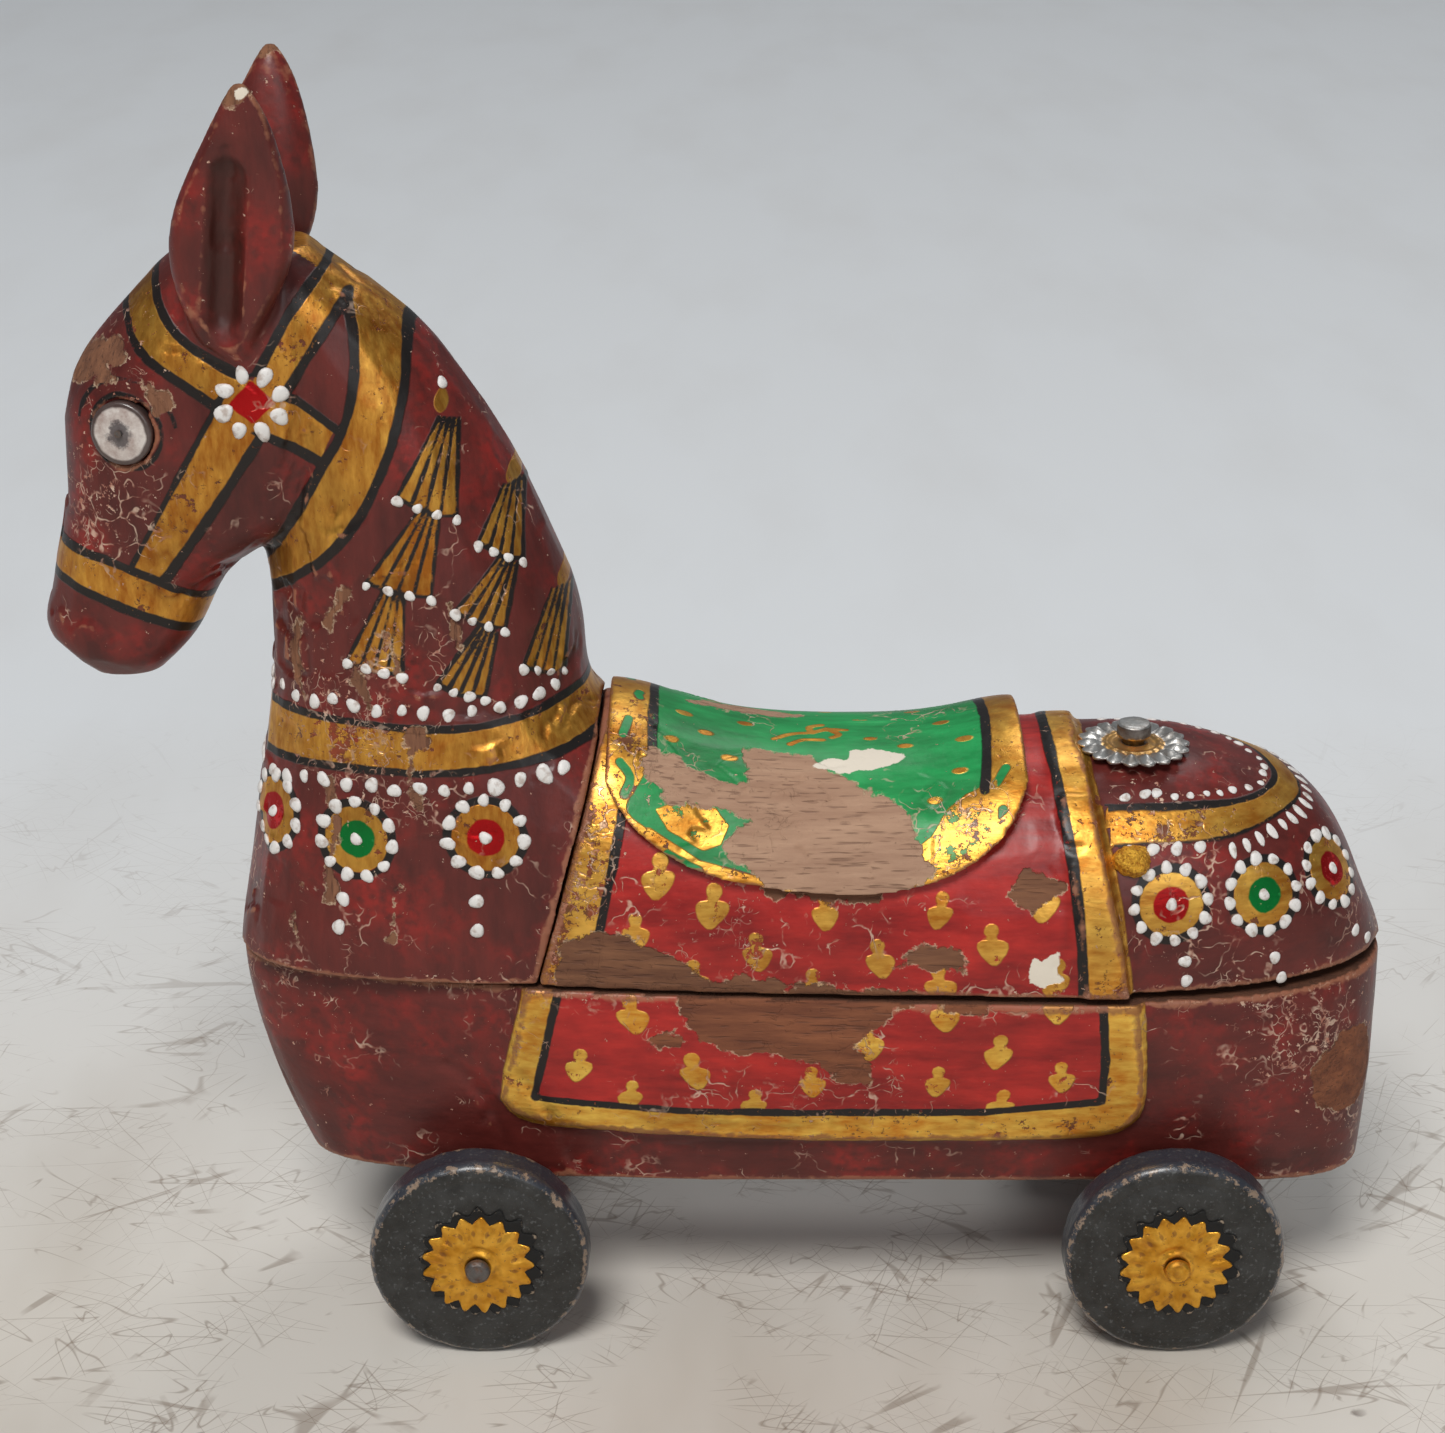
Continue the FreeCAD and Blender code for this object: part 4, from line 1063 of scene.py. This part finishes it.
class Drops:
    """White paint drops that are joined into one piece."""

    RINGS, SIDES = 6, 14

    def __init__(self, seed):
        self.rng = np.random.default_rng(seed)
        self.points, self.faces = [], []

    def add(self, where, normal, radius, long=1.0, along=None):
        rng = self.rng
        normal = normal / np.linalg.norm(normal)
        if along is None:
            first = np.cross(normal, rng.normal(size=3))
        else:
            first = along - normal * (along @ normal)
        first = first / np.linalg.norm(first)
        second = np.cross(normal, first)
        height = radius * rng.uniform(0.28, 0.40)
        phases = rng.uniform(0, 2 * math.pi, 2)
        start = len(self.points)
        for ring in range(self.RINGS + 1):
            tilt = math.pi * ring / self.RINGS
            for side_step in range(self.SIDES if 0 < ring < self.RINGS else 1):
                turn = 2 * math.pi * side_step / self.SIDES
                reach = radius * math.sin(tilt) * (1 + 0.09 * math.sin(2 * turn + phases[0])
                                                   + 0.07 * math.sin(3 * turn + phases[1]))
                self.points.append(where + first * reach * long * math.cos(turn)
                                   + second * reach * math.sin(turn)
                                   + normal * height * (math.cos(tilt) + 0.1))
        top, bottom = start, start + 1 + (self.RINGS - 1) * self.SIDES
        for step in range(self.SIDES):
            after = (step + 1) % self.SIDES
            self.faces.append((top, top + 1 + step, top + 1 + after))
            for ring in range(self.RINGS - 2):
                row = top + 1 + ring * self.SIDES
                self.faces.append((row + step, row + self.SIDES + step,
                                   row + self.SIDES + after, row + after))
            last = top + 1 + (self.RINGS - 2) * self.SIDES
            self.faces.append((last + step, bottom, last + after))

    def row(self, surface, line, spacing, radius):
        for point in spaced(line, spacing):
            where, normal = surface.nearest(point + self.rng.normal(size=3) * 0.35)
            self.add(where, normal, radius * self.rng.uniform(0.8, 1.2), self.rng.uniform(1.0, 1.25))


def make_piece(name, points, faces):
    mesh = bpy.data.meshes.new(name)
    mesh.from_pydata((np.array(points) * MM).tolist(), [], faces)
    mesh.validate()
    mesh.polygons.foreach_set("use_smooth", [True] * len(mesh.polygons))
    piece = bpy.data.objects.new(name, mesh)
    bpy.context.scene.collection.objects.link(piece)
    return piece


# %% White paint
white_paint, wire = new_material("white_paint")
grime = ramp(wire, cloud(wire, 1.6, 3), 0.52, 0.68)
white = tint(wire, grime * 0.8, rgb(222, 219, 216), rgb(172, 156, 146))
finish_surface(wire, {"Base Color": white, "Roughness": 0.45,
                      "Normal": relief(wire, cloud(wire, 0.9, 2) * 0.06)})


def finish_drops(drops, name):
    piece = make_piece(name, drops.points, drops.faces)
    piece.data.materials.append(white_paint)
    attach(piece, "lid")
    print(name, len(piece.data.polygons), "faces")


# %% Dots on the head, neck and chest
on_head = Surface(head)
drops = Drops(3)
NECK_MIDDLE_X = -60.0


def round_the_neck(line, offset):
    """Surface points that follow a side line all the way round the neck's front and sides."""
    xs, zs = np.array(line, float).T
    found = []
    for turn in np.radians(np.arange(-157, 158, 3.0)):
        outward = np.array([-math.cos(turn), math.sin(turn), 0.0])
        x, hit = NECK_MIDDLE_X, None
        for _ in range(3):
            height = np.interp(x, xs, zs) + offset
            hit = on_head.ray((NECK_MIDDLE_X + 90 * outward[0], 90 * outward[1], height), -outward)
            x = hit[0][0] if hit else x
        if hit and hit[0][0] < -29:
            found.append(hit[0])
    return found


drops.row(on_head, round_the_neck(COLLAR_UPPER, 3.0), 4.8, 1.25)
drops.row(on_head, round_the_neck(COLLAR_LOWER, -3.2), 5.0, 1.4)
for turn in (1, -1):
    for centre, colour in CHEST_FLOWERS:
        centre = np.array(centre) * (1, turn, 1)
        for where, normal in on_head.ring(centre, 7.7, 11, 0.2):
            drops.add(where, normal, 1.4 * drops.rng.uniform(0.85, 1.15))
        drops.add(*on_head.nearest(centre), 1.3)
    for x, y, z in ((-76.9, -26, 97.2), (-77.7, -26, 91.3), (-50, -30, 98.5), (-50, -30, 92.2)):
        drops.add(*on_head.nearest((x, y * turn, z)), 1.5)
    for where, normal in on_head.ring(np.array(HEAD_FLOWER) * (1, turn, 1), 5.7, 8, 0.3):
        outward = where - np.array(HEAD_FLOWER) * (1, turn, 1)
        drops.add(where, normal, 1.4 * drops.rng.uniform(0.9, 1.15), 1.3, outward)
    for tip, front, rear in TASSELS:
        for share in (0.0, 0.34, 0.67, 1.0):
            x, z = (np.array(front) + (np.array(rear) - front) * share) + (0, -0.8)
            hit = on_head.ray((x, -60 * turn, z), (0, turn, 0))
            if hit:
                drops.add(*hit, 1.05 * drops.rng.uniform(0.8, 1.15))
    for x, z in DROPS:
        hit = on_head.ray((x, -60 * turn, z + 2.6), (0, turn, 0))
        if hit:
            drops.add(*hit, 1.3)
finish_drops(drops, "white_dots_neck")

# %% Dots on the rump
on_back = Surface(back)
drops = Drops(9)


def from_above(line, grow):
    """Surface points under a line drawn from above, moved outwards by grow."""
    line = curve_through(line, 3)
    run = np.gradient(line, axis=0)
    out = np.stack([run[:, 1], -run[:, 0]], 1) / np.linalg.norm(run, axis=1)[:, None]
    found = []
    for x, y in line + out * grow:
        hit = on_back.ray((x, y, 160), (0, 0, -1))
        if hit and x > 76 and hit[0][2] > 95:
            found.append(hit[0])
    return found


drops.row(on_back, from_above(SHOE_INNER, -1.9), 3.3, 0.9)
for bend, spacing, away in ((False, 4.8, 0.7), (True, 3.3, 1.7)):
    outer_line = from_above(SHOE_OUTER, away)
    for point in spaced([p for p in outer_line if (p[0] > 97) == bend and p[1] < 12], spacing):
        where, normal = on_back.nearest(point)
        outward = np.array([point[0] - 92, point[1] + 5, -4.0])
        size = 0.85 if bend else 1.25
        drops.add(where, normal, size * drops.rng.uniform(0.85, 1.15), 2.0 if bend else 1.15, outward)
for turn in (1, -1):
    for centre, colour in RUMP_FLOWERS:
        centre = np.array(centre) * (1, turn, 1)
        for where, normal in on_back.ring(centre, 7.5, 12, 0.1):
            drops.add(where, normal, 1.35 * drops.rng.uniform(0.85, 1.15))
        drops.add(*on_back.nearest(centre), 1.2)
    for x, y, z in ((90.6, -33, 86.9), (91.2, -34, 82.7), (109.2, -29, 85.7), (111.1, -29, 80.9),
                    (127.4, -18.9, 86.6), (130.7, -15.7, 83.4)):
        drops.add(*on_back.nearest((x, y * turn, z)), 1.3)
finish_drops(drops, "white_dots_rump")

# %% [markdown]
# ## Turned and forged metal and wood
#
# Wheels, nails, rod ends and eye discs are all round. Each is one outline spun about an axis, which is
# how a lathe makes it. A little noise dents the hand-forged ones.


# %% A lathe
def lathe(name, outline, centre, axis, sides=96, dents=0.0, seed=0.0):
    """Spin an outline of (radius, height) about an axis. It closes on itself, or ends on the axis."""
    turn_to = Vector((0, 0, 1)).rotation_difference(Vector(axis)).to_matrix()
    shape = bmesh.new()
    rows = []
    for step in range(sides):
        angle = 2 * math.pi * step / sides
        row = []
        for radius, height in outline:
            point = Vector((radius * math.cos(angle), radius * math.sin(angle), height))
            dent = dents * (noise.noise(point * 0.45 + Vector((seed, 0, 0))) - 0.5)
            point.x, point.y = point.x * (1 + dent / 6), point.y * (1 + dent / 6)
            point.z += dent * 0.35 * (1 if height > 0 else -1)
            row.append(shape.verts.new((turn_to @ point + Vector(centre)) * MM))
        rows.append(row)
    closed = outline[0][0] > 0
    for step in range(sides):
        one, two = rows[step], rows[(step + 1) % sides]
        for k in range(len(outline) if closed else len(outline) - 1):
            after = (k + 1) % len(outline)
            shape.faces.new((one[k], two[k], two[after], one[after]))
    bmesh.ops.remove_doubles(shape, verts=shape.verts, dist=1e-7)
    bmesh.ops.recalc_face_normals(shape, faces=shape.faces)
    for face in shape.faces:
        face.smooth = True
    mesh = bpy.data.meshes.new(name)
    shape.to_mesh(mesh)
    shape.free()
    piece = bpy.data.objects.new(name, mesh)
    bpy.context.scene.collection.objects.link(piece)
    return piece


def corner_arc(radius, height, bend, from_angle, steps=5):
    """Points round a corner whose centre is (radius, height)."""
    return [(radius + bend * math.cos(math.radians(from_angle + 90 * k / steps)),
             height + bend * math.sin(math.radians(from_angle + 90 * k / steps)))
            for k in range(steps + 1)]


def middle_of(node):
    """Centre and size of a CAD node, in millimetres."""
    low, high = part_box(node)
    return np.array((low + high) / 2) / MM, np.array(high - low) / MM


# %% [markdown]
# ## Wheels
#
# The wheels are turned discs, painted black over wood. The face is slightly crowned, a few turning marks
# stay in it, and the rims are rubbed through to pale wood.

# %% Wheel material
wheel_black, wire = new_material("wheel_black")
rings = field(wire, "rim")
nicks = cloud(wire, 2.6, 4, roughness=0.7)
worn = inside(wire, rings + 0.7 + (nicks - 0.5) * 6.5, 0.2)
scuffs = ramp(wire, cloud(wire, 6, 4, roughness=0.7), 0.40, 0.72)
chipped = ramp(wire, cloud(wire, 3.1, 3, roughness=0.7), 0.715, 0.735)
tread_sheen = inside(wire, field(wire, "tread_sheen"))
colour = tint(wire, scuffs, rgb(28, 27, 25), rgb(52, 52, 51))
# Painted sheen: the black on the tread is tinted blue-grey, standing for the pale room mirrored in it.
colour = tint(wire, tread_sheen * 0.7, colour, rgb(54, 58, 68))
colour = tint(wire, ramp(wire, cloud(wire, 0.8, 2), 0.60, 0.70) * 0.5, colour, rgb(96, 98, 98))
colour = tint(wire, wire.math("MAXIMUM", worn * 0.8, chipped * 0.9), colour, rgb(150, 128, 108))
finish_surface(wire, {"Base Color": colour,
                      "Roughness": ramp(wire, scuffs, 0, 1, 0.40, 0.58) - tread_sheen * 0.12,
                      "Coat Weight": tread_sheen * 0.35 + 0.08, "Coat Roughness": 0.22,
                      "Normal": relief(wire, nicks * 0.25 - worn * 0.12 - chipped * 0.25
                                       + cloud(wire, 9, 2) * 0.15)})


# %% Wheels
def wheel(place, side_name, seed):
    node = f"wheel_{place}_{side_name}"
    centre, size = middle_of(node)
    outward = -1 if side_name == "left" else 1
    radius, half = size[0] / 2, size[1] / 2
    bore, round_in, round_out = 2.1, 1.7, 2.4
    outline = [(bore, -half), (8, -half), (14, -half)]
    outline += corner_arc(radius - round_in, -half + round_in, round_in, -90)
    outline += [(radius - 0.05, -half * 0.3), (radius - 0.12, 0.0), (radius - 0.05, half * 0.25)]
    outline += corner_arc(radius - round_out, half - 0.55 - round_out, round_out, 0)
    outline += [(19.2, half - 0.50), (18.9, half - 0.62), (18.6, half - 0.46), (15, half - 0.22),
                (12.4, half - 0.08), (bore, half)]
    piece = lathe(node + "_turned", outline, centre, (0, outward, 0), 128, 0.05, seed)
    skin = Skin(piece)
    offset = skin.points - centre
    from_axle = np.hypot(offset[:, 0], offset[:, 2])
    across = offset[:, 1] * outward
    outer = np.hypot(from_axle - (radius - 0.5), across - (half - 1.0))
    inner = np.hypot(from_axle - (radius - 0.5), across + (half - 0.6))
    skin.keep("rim", np.minimum(outer, inner) - 1.1)
    skin.keep("tread_sheen", radius - 1.2 - from_axle)
    keep_within(skin, node)
    piece.data.materials.append(wheel_black)
    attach(piece, f"wheel_{place}_{side_name}_body")
    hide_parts(node)


for place in ("front", "rear"):
    for number, side_name in enumerate(("left", "right")):
        wheel(place, side_name, 3.0 + 5 * number + (20 if place == "rear" else 0))
print("wheels turned")

# %% [markdown]
# ## Rosettes
#
# The rosettes are pressed from thin sheet: a raised hub, a ring of flutes and pointed petals on the
# wheels, rounder ones under the pivot nail. A ring-shaped grid is lifted by a sum of simple waves, and a
# second grid below gives the sheet its thickness. Under each gilded rosette lies a slightly larger, very
# dark sheet, a little off centre, so that a dark rim peeps out: it is partly a black sheet and partly
# painted shadow under the gilded sheet's edge. The same function makes both.

# %% Metal finishes
gilt, wire = new_material("gilt_sheet")
speck = ramp(wire, cloud(wire, 1.1, 3, roughness=0.75), 0.60, 0.66)
stain = ramp(wire, cloud(wire, 4.5, 3), 0.56, 0.68)
# The pits of the wheel rosettes are tinted dark brown as grime.
grime_and_shade_mask = inside(wire, field(wire, "hollow") + (cloud(wire, 2, 2) - 0.5) * 0.5, 0.2)
colour = tint(wire, ramp(wire, cloud(wire, 3, 2), 0.35, 0.65), rgb(202, 138, 36), rgb(236, 176, 66))
colour = tint(wire, wire.math("MAXIMUM", speck * 0.7, stain * 0.4), colour, rgb(110, 60, 30))
colour = tint(wire, grime_and_shade_mask * 0.6, colour, rgb(96, 48, 24))
finish_surface(wire, {"Base Color": colour, "Roughness": ramp(wire, stain, 0, 1, 0.34, 0.55),
                      "Metallic": 0.8 - 0.5 * wire.math("MAXIMUM", speck, grime_and_shade_mask * 0.6),
                      "Normal": relief(wire, cloud(wire, 1.4, 3) * 0.14 - speck * 0.05)})

steel, wire = new_material("grey_sheet")
tarnish = ramp(wire, cloud(wire, 3.2, 4, roughness=0.65), 0.42, 0.66)
# Darker in the grooves between the beads, and on the side of the nail's head as painted shade.
grime_and_shade_mask = inside(wire, field(wire, "hollow") + (cloud(wire, 2, 2) - 0.5) * 0.5, 0.2)
gilded = inside(wire, field(wire, "gilded") + (cloud(wire, 1.5, 2) - 0.5) * 1.6, 0.2)
colour = tint(wire, tarnish, rgb(206, 205, 202), rgb(142, 136, 130))
colour = tint(wire, grime_and_shade_mask * 0.7, colour, rgb(70, 50, 42))
colour = tint(wire, gilded * 0.8, colour, rgb(200, 146, 52))
finish_surface(wire, {"Base Color": colour, "Metallic": 0.85,
                      "Roughness": ramp(wire, tarnish, 0, 1, 0.30, 0.52),
                      "Normal": relief(wire, cloud(wire, 1.2, 3) * 0.12)})

iron, wire = new_material("dark_iron")
rust = ramp(wire, cloud(wire, 2.4, 4, roughness=0.7), 0.46, 0.64)
colour = tint(wire, rust, rgb(112, 108, 106), rgb(96, 70, 54))
finish_surface(wire, {"Base Color": colour, "Roughness": ramp(wire, rust, 0, 1, 0.38, 0.7),
                      "Metallic": 0.85 - rust * 0.5,
                      "Normal": relief(wire, cloud(wire, 0.9, 3) * 0.18)})


# %% Rosettes
def rise(value, low, high):
    share = np.clip((value - low) / (high - low), 0, 1)
    return share * share * (3 - 2 * share)


def bump_at(value, centre, width):
    return np.exp(-((value - centre) / width) ** 2)


def sunburst(share, wave):
    """Height of a wheel's rosette in mm, for the share of the radius and the petal wave -1..1."""
    dome = 0.50 + 0.70 * (1 - rise(share, 0.40, 0.95))
    flutes = 0.24 * wave * rise(share, 0.45, 0.72)
    hub = 0.50 * bump_at(share, 0.25, 0.06) - 0.15 * bump_at(share, 0.36, 0.05)
    return dome + flutes + hub


def beads(share, wave):
    """Height of the pivot's rosette: a ring of rounded beads round a dished middle."""
    bead = 1.30 * np.clip(0.5 + 0.5 * wave, 0, 1) ** 0.62 * bump_at(share, 0.77, 0.17)
    dish = 0.35 + 0.45 * bump_at(share, 0.47, 0.05) + 0.5 * bump_at(share, 0.25, 0.08)
    return dish + bead


def backing(share, wave):
    """Height of the dark sheet under a gilded rosette (partly painted shadow): flat, with a crimped edge.
    """
    return 0.34 + 0.16 * (0.5 + 0.5 * wave) * bump_at(share, 0.95, 0.05)


# A near-black sheet with a broken pale rim: partly a black sheet and partly painted shadow round the
# gilded rosette.
dark_sheet_and_shadow, wire = new_material("dark_sheet_and_shadow")
broken = ramp(wire, cloud(wire, 2.4, 3, roughness=0.7), 0.48, 0.58)
bright_rim = inside(wire, field(wire, "rim") - 1.2) * broken
colour = tint(wire, bright_rim * 0.8, rgb(12, 11, 10), rgb(150, 132, 112))
finish_surface(wire, {"Base Color": colour, "Roughness": ramp(wire, bright_rim, 0, 1, 0.8, 0.5)})


def rosette(node, body, petals, shape, pointed, material, slot, grow=0.0, shift=(0, 0, 0), turned=0.0):
    """A pressed sheet of petals. With grow it is the larger sheet under a gilded one, partly painted
    shadow.
    """
    centre, size = middle_of(node)
    centre = centre + shift
    facing = np.argmin(size)
    axis = np.zeros(3)
    axis[facing] = 1 if facing == 2 else np.sign(centre[1])
    thick, radius, bore, per_petal, rings = size[facing], max(size) / 2 + grow, 2.1 + 2 * grow, 12, 30
    sides = petals * per_petal
    turn = 2 * math.pi * np.arange(sides) / sides
    wave = np.cos(turn * petals)
    turn = turn + turned
    tips = 0.5 + 0.5 * wave
    reach = radius * (0.86 + 0.14 * tips ** 1.3 if pointed else 0.87 + 0.13 * tips ** 0.5)
    share = np.linspace(0, 1, rings)[:, None]
    distance = bore + (reach - bore) * share
    top = np.clip(shape(distance / radius, wave[None, :]), 0.3, thick)
    under = np.clip(top - 0.55, 0.02, None)
    base_point = centre - axis * thick / 2
    first = np.array([1.0, 0, 0])
    second = np.cross(axis, first)
    points, faces = [], []
    for layer in (top, under):
        for ring in range(rings):
            for step in range(sides):
                flat = distance[ring, step]
                points.append(base_point + axis * layer[ring, step]
                              + (first * math.cos(turn[step]) + second * math.sin(turn[step])) * flat)
    count = rings * sides
    for step in range(sides):
        after = (step + 1) % sides
        for ring in range(rings - 1):
            a, b = ring * sides + step, ring * sides + after
            faces.append((a, a + sides, b + sides, b))
            faces.append((count + a, count + b, count + b + sides, count + a + sides))
        last, last_after = (rings - 1) * sides + step, (rings - 1) * sides + after
        faces.append((last, count + last, count + last_after, last_after))
        faces.append((step, after, count + after, count + step))
    piece = make_piece(node + ("_backing" if grow else "_pressed"), points, faces)
    skin = Skin(piece)
    shares = np.concatenate([(distance / radius).ravel()] * 2)
    waves = np.concatenate([np.tile(wave, rings)] * 2)
    pits = (waves + 0.5) * 1.2 + np.abs(shares - 0.66) * 9
    grooves = waves + 0.96 + 3 * (1 - rise(shares, 0.45, 0.6))
    skin.keep("hollow", pits if pointed else grooves)
    skin.keep("rim", np.where(shares > 0.95, 0.0, 3.0))
    skin.keep("gilded", np.abs(shares - 0.40) * radius - 1.9)
    piece.data.materials.append(material)
    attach(piece, body)
    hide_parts(node)


BACKING_PLACE = {"grow": 1.4, "shift": (0.75, 0, 0.55), "turned": 0.13}
for place in ("front", "rear"):
    for side_name in ("left", "right"):
        node, body = f"rosette_{place}_{side_name}", f"wheel_{place}_{side_name}_body"
        rosette(node, body, 17, sunburst, True, gilt, "gilt_sheet")
        rosette(node, body, 17, backing, True, dark_sheet_and_shadow, "black_lacquer", **BACKING_PLACE)
rosette("pivot_rosette", "lid", 18, beads, False, steel, "gilt_sheet")
print("rosettes pressed")

# %% [markdown]
# ## Nail, rods, stud and eyes
#
# The pivot is a big-headed iron nail. The wheel rods have hammered ends that hold the rosettes. The
# stud on the strap is a rough lump of gilded metal. The eyes are white discs held by a small nail.

# %% Pivot nail and rods
PIN_HEAD, PIN_SHANK = 3.5, 2.2
pin_middle, pin_size = middle_of("pivot_pin")
half = pin_size[2] / 2
pin_outline = [(0, -half), (0.5, -half + 0.6), (PIN_SHANK, -half + 7), (PIN_SHANK, half - 3.0),
               (PIN_HEAD - 0.3, half - 2.9), (PIN_HEAD - 0.06, half - 2.8), (PIN_HEAD, half - 2.6),
               (PIN_HEAD, half - 0.7), (PIN_HEAD - 0.07, half - 0.4), (PIN_HEAD - 0.3, half - 0.15),
               (PIN_HEAD - 0.6, half - 0.06), (1.6, half - 0.04), (0, half - 0.02)]
pin = lathe("pivot_nail", pin_outline, pin_middle, (0, 0, 1), 40, 0.14, 4.0)
skin = Skin(pin)
above = skin.points[:, 2] - (pin_middle[2] + half)
from_axis = np.hypot(*(skin.points - pin_middle)[:, :2].T)
# Below its flat top the side of the head takes the dark tint, which is painted shade; below that it is
# gilded.
skin.keep("hollow", np.where((above > -0.35) | (from_axis < PIN_HEAD - 0.5), 2.0, -0.25))
skin.keep("gilded", above + 2.6)
pin.data.materials.append(steel)
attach(pin, "box")
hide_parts("pivot_pin")

ROD, ROD_HEAD = 2.0, 2.7
for place in ("front", "rear"):
    centre, size = middle_of(place + "_axle")
    half = size[1] / 2
    end = [(ROD, half - 2.1), (ROD_HEAD - 0.2, half - 2.0), (ROD_HEAD, half - 1.5),
           (ROD_HEAD - 0.15, half - 0.8), (ROD_HEAD - 0.7, half - 0.35), (1.9, half - 0.3),
           (1.5, half - 0.55), (1.1, half - 0.2), (0, half - 0.1)]
    outline = [(r, -h) for r, h in reversed(end)] + end
    rod = lathe(place + "_rod", outline, centre, (0, 1, 0), 48, 0.3, 8.0)
    rod.data.materials.append(iron)
    rod.data.materials.append(gilt)
    if place == "rear":
        for face in rod.data.polygons:
            face.material_index = 1 if abs(face.center.y) > (half - 2.5) * MM else 0
    Skin(rod).keep("hollow", np.full(len(rod.data.vertices), 2.0))
    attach(rod, "box")
    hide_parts(place + "_axle")
print("nail and rods forged")

# %% Stud
STUD_RADIUS = 4.0
low, high = (np.array(corner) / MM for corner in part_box("strap_stud"))
centre = np.array([(low[0] + high[0]) / 2, low[1] + STUD_RADIUS, (low[2] + high[2]) / 2])
stud_shape = bmesh.new()
bmesh.ops.create_icosphere(stud_shape, subdivisions=4, radius=1.0)
for vertex in stud_shape.verts:
    rough = 0.90 + 0.12 * noise.noise(vertex.co * 1.6) + 0.10 * noise.noise(vertex.co * 3.6)
    rough += 0.05 * noise.noise(vertex.co * 9.0)
    vertex.co = Vector(centre * MM) + Vector((1.06 * vertex.co.x, vertex.co.y, 0.86 * vertex.co.z)) * (
        rough * STUD_RADIUS * MM)
stud_mesh = bpy.data.meshes.new("gilded_stud")
stud_shape.to_mesh(stud_mesh)
stud_shape.free()
stud_mesh.polygons.foreach_set("use_smooth", [True] * len(stud_mesh.polygons))
stud = bpy.data.objects.new("gilded_stud", stud_mesh)
bpy.context.scene.collection.objects.link(stud)
crumpled_leaf, wire = new_material("crumpled_leaf")
grains = cloud(wire, 0.7, 4, roughness=0.7)
colour = tint(wire, ramp(wire, grains, 0.36, 0.62), rgb(168, 104, 28), rgb(246, 192, 70))
finish_surface(wire, {"Base Color": colour, "Metallic": 0.75,
                      "Roughness": ramp(wire, grains, 0.3, 0.7, 0.34, 0.56),
                      "Normal": relief(wire, grains * 0.55)})
stud_mesh.materials.append(crumpled_leaf)
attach(stud, "lid")
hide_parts("strap_stud")

# %% Eyes
eye_white, wire = new_material("eye_white")
from_middle = field(wire, "from_middle")
smudge = (cloud(wire, 2.2, 4, roughness=0.7) - 0.5) * 5.0
pupil = inside(wire, from_middle - 2.3 + smudge, 0.5)
ring = ramp(wire, from_middle + (cloud(wire, 2, 2) - 0.5) * 0.6, 4.95, 5.35)
colour = tint(wire, ramp(wire, cloud(wire, 3, 4, roughness=0.65), 0.38, 0.62) * 0.8,
              rgb(206, 198, 192), rgb(152, 130, 122))
colour = tint(wire, pupil * 0.85, colour, rgb(52, 44, 50))
colour = tint(wire, ring * 0.92, colour, rgb(52, 30, 27))
finish_surface(wire, {"Base Color": colour, "Roughness": 0.34,
                      "Coat Weight": 0.5, "Coat Roughness": 0.15,
                      "Normal": relief(wire, cloud(wire, 2.5, 3) * 0.18)})
EYE_FACING = (-0.22, 1.0, 0.05)
for side_name, turn in (("left", -1), ("right", 1)):
    node = "eye_" + side_name
    centre = middle_of(node)[0]
    radius, half = 6.2, 1.8
    outline = [(0, -half), (radius - 0.2, -half), (radius, -half + 0.2), (radius, half - 1.3)]
    outline += corner_arc(radius - 0.7, half - 1.2, 0.7, 0)
    outline += [(radius - 1.6, half - 0.4), (radius - 3.0, half - 0.12), (0.9, half - 0.02), (0, half)]
    facing = (EYE_FACING[0], EYE_FACING[1] * turn, EYE_FACING[2])
    eye = lathe(node + "_disc", outline, centre, facing, 64, 0.06, 2.0 + turn)
    skin = Skin(eye)
    off_axis = np.cross(skin.points - centre, Vector(facing).normalized())
    skin.keep("from_middle", np.linalg.norm(off_axis, axis=1))
    eye.data.materials.append(eye_white)
    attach(eye, "lid")
    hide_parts(node)

# %% [markdown]
# ## Bearers, dowels and small nails
#
# Two blocks under the box carry the rods. They are plain sawn wood, darkened with handling. The dowels
# inside the neck joint and the small nails keep their CAD shapes and take wood and iron.

# %% Bearers and small parts
dark_wood, wire = new_material("dark_wood")
wood, streaks, pores = bare_wood(wire, "y", (104, 72, 54), (64, 42, 32))
finish_surface(wire, {"Base Color": wood, "Roughness": ramp(wire, streaks, 0.3, 0.7, 0.62, 0.8),
                      "Normal": relief(wire, streaks * 0.3 - pores * 0.2)})
for place in ("front", "rear"):
    skin = carve(place + "_bearer", place + "_bearer_block", "box",
                 0.8, 12, 0.25, 10, 0.2, 2, 51)
    skin.mesh.materials.append(dark_wood)
for node, finish in (("neck_dowels", dark_wood), ("bearer_nails", iron), ("eye_nail_left", iron),
                     ("eye_nail_right", iron)):
    frame["nodes"][node].data.materials.clear()
    frame["nodes"][node].data.materials.append(finish)
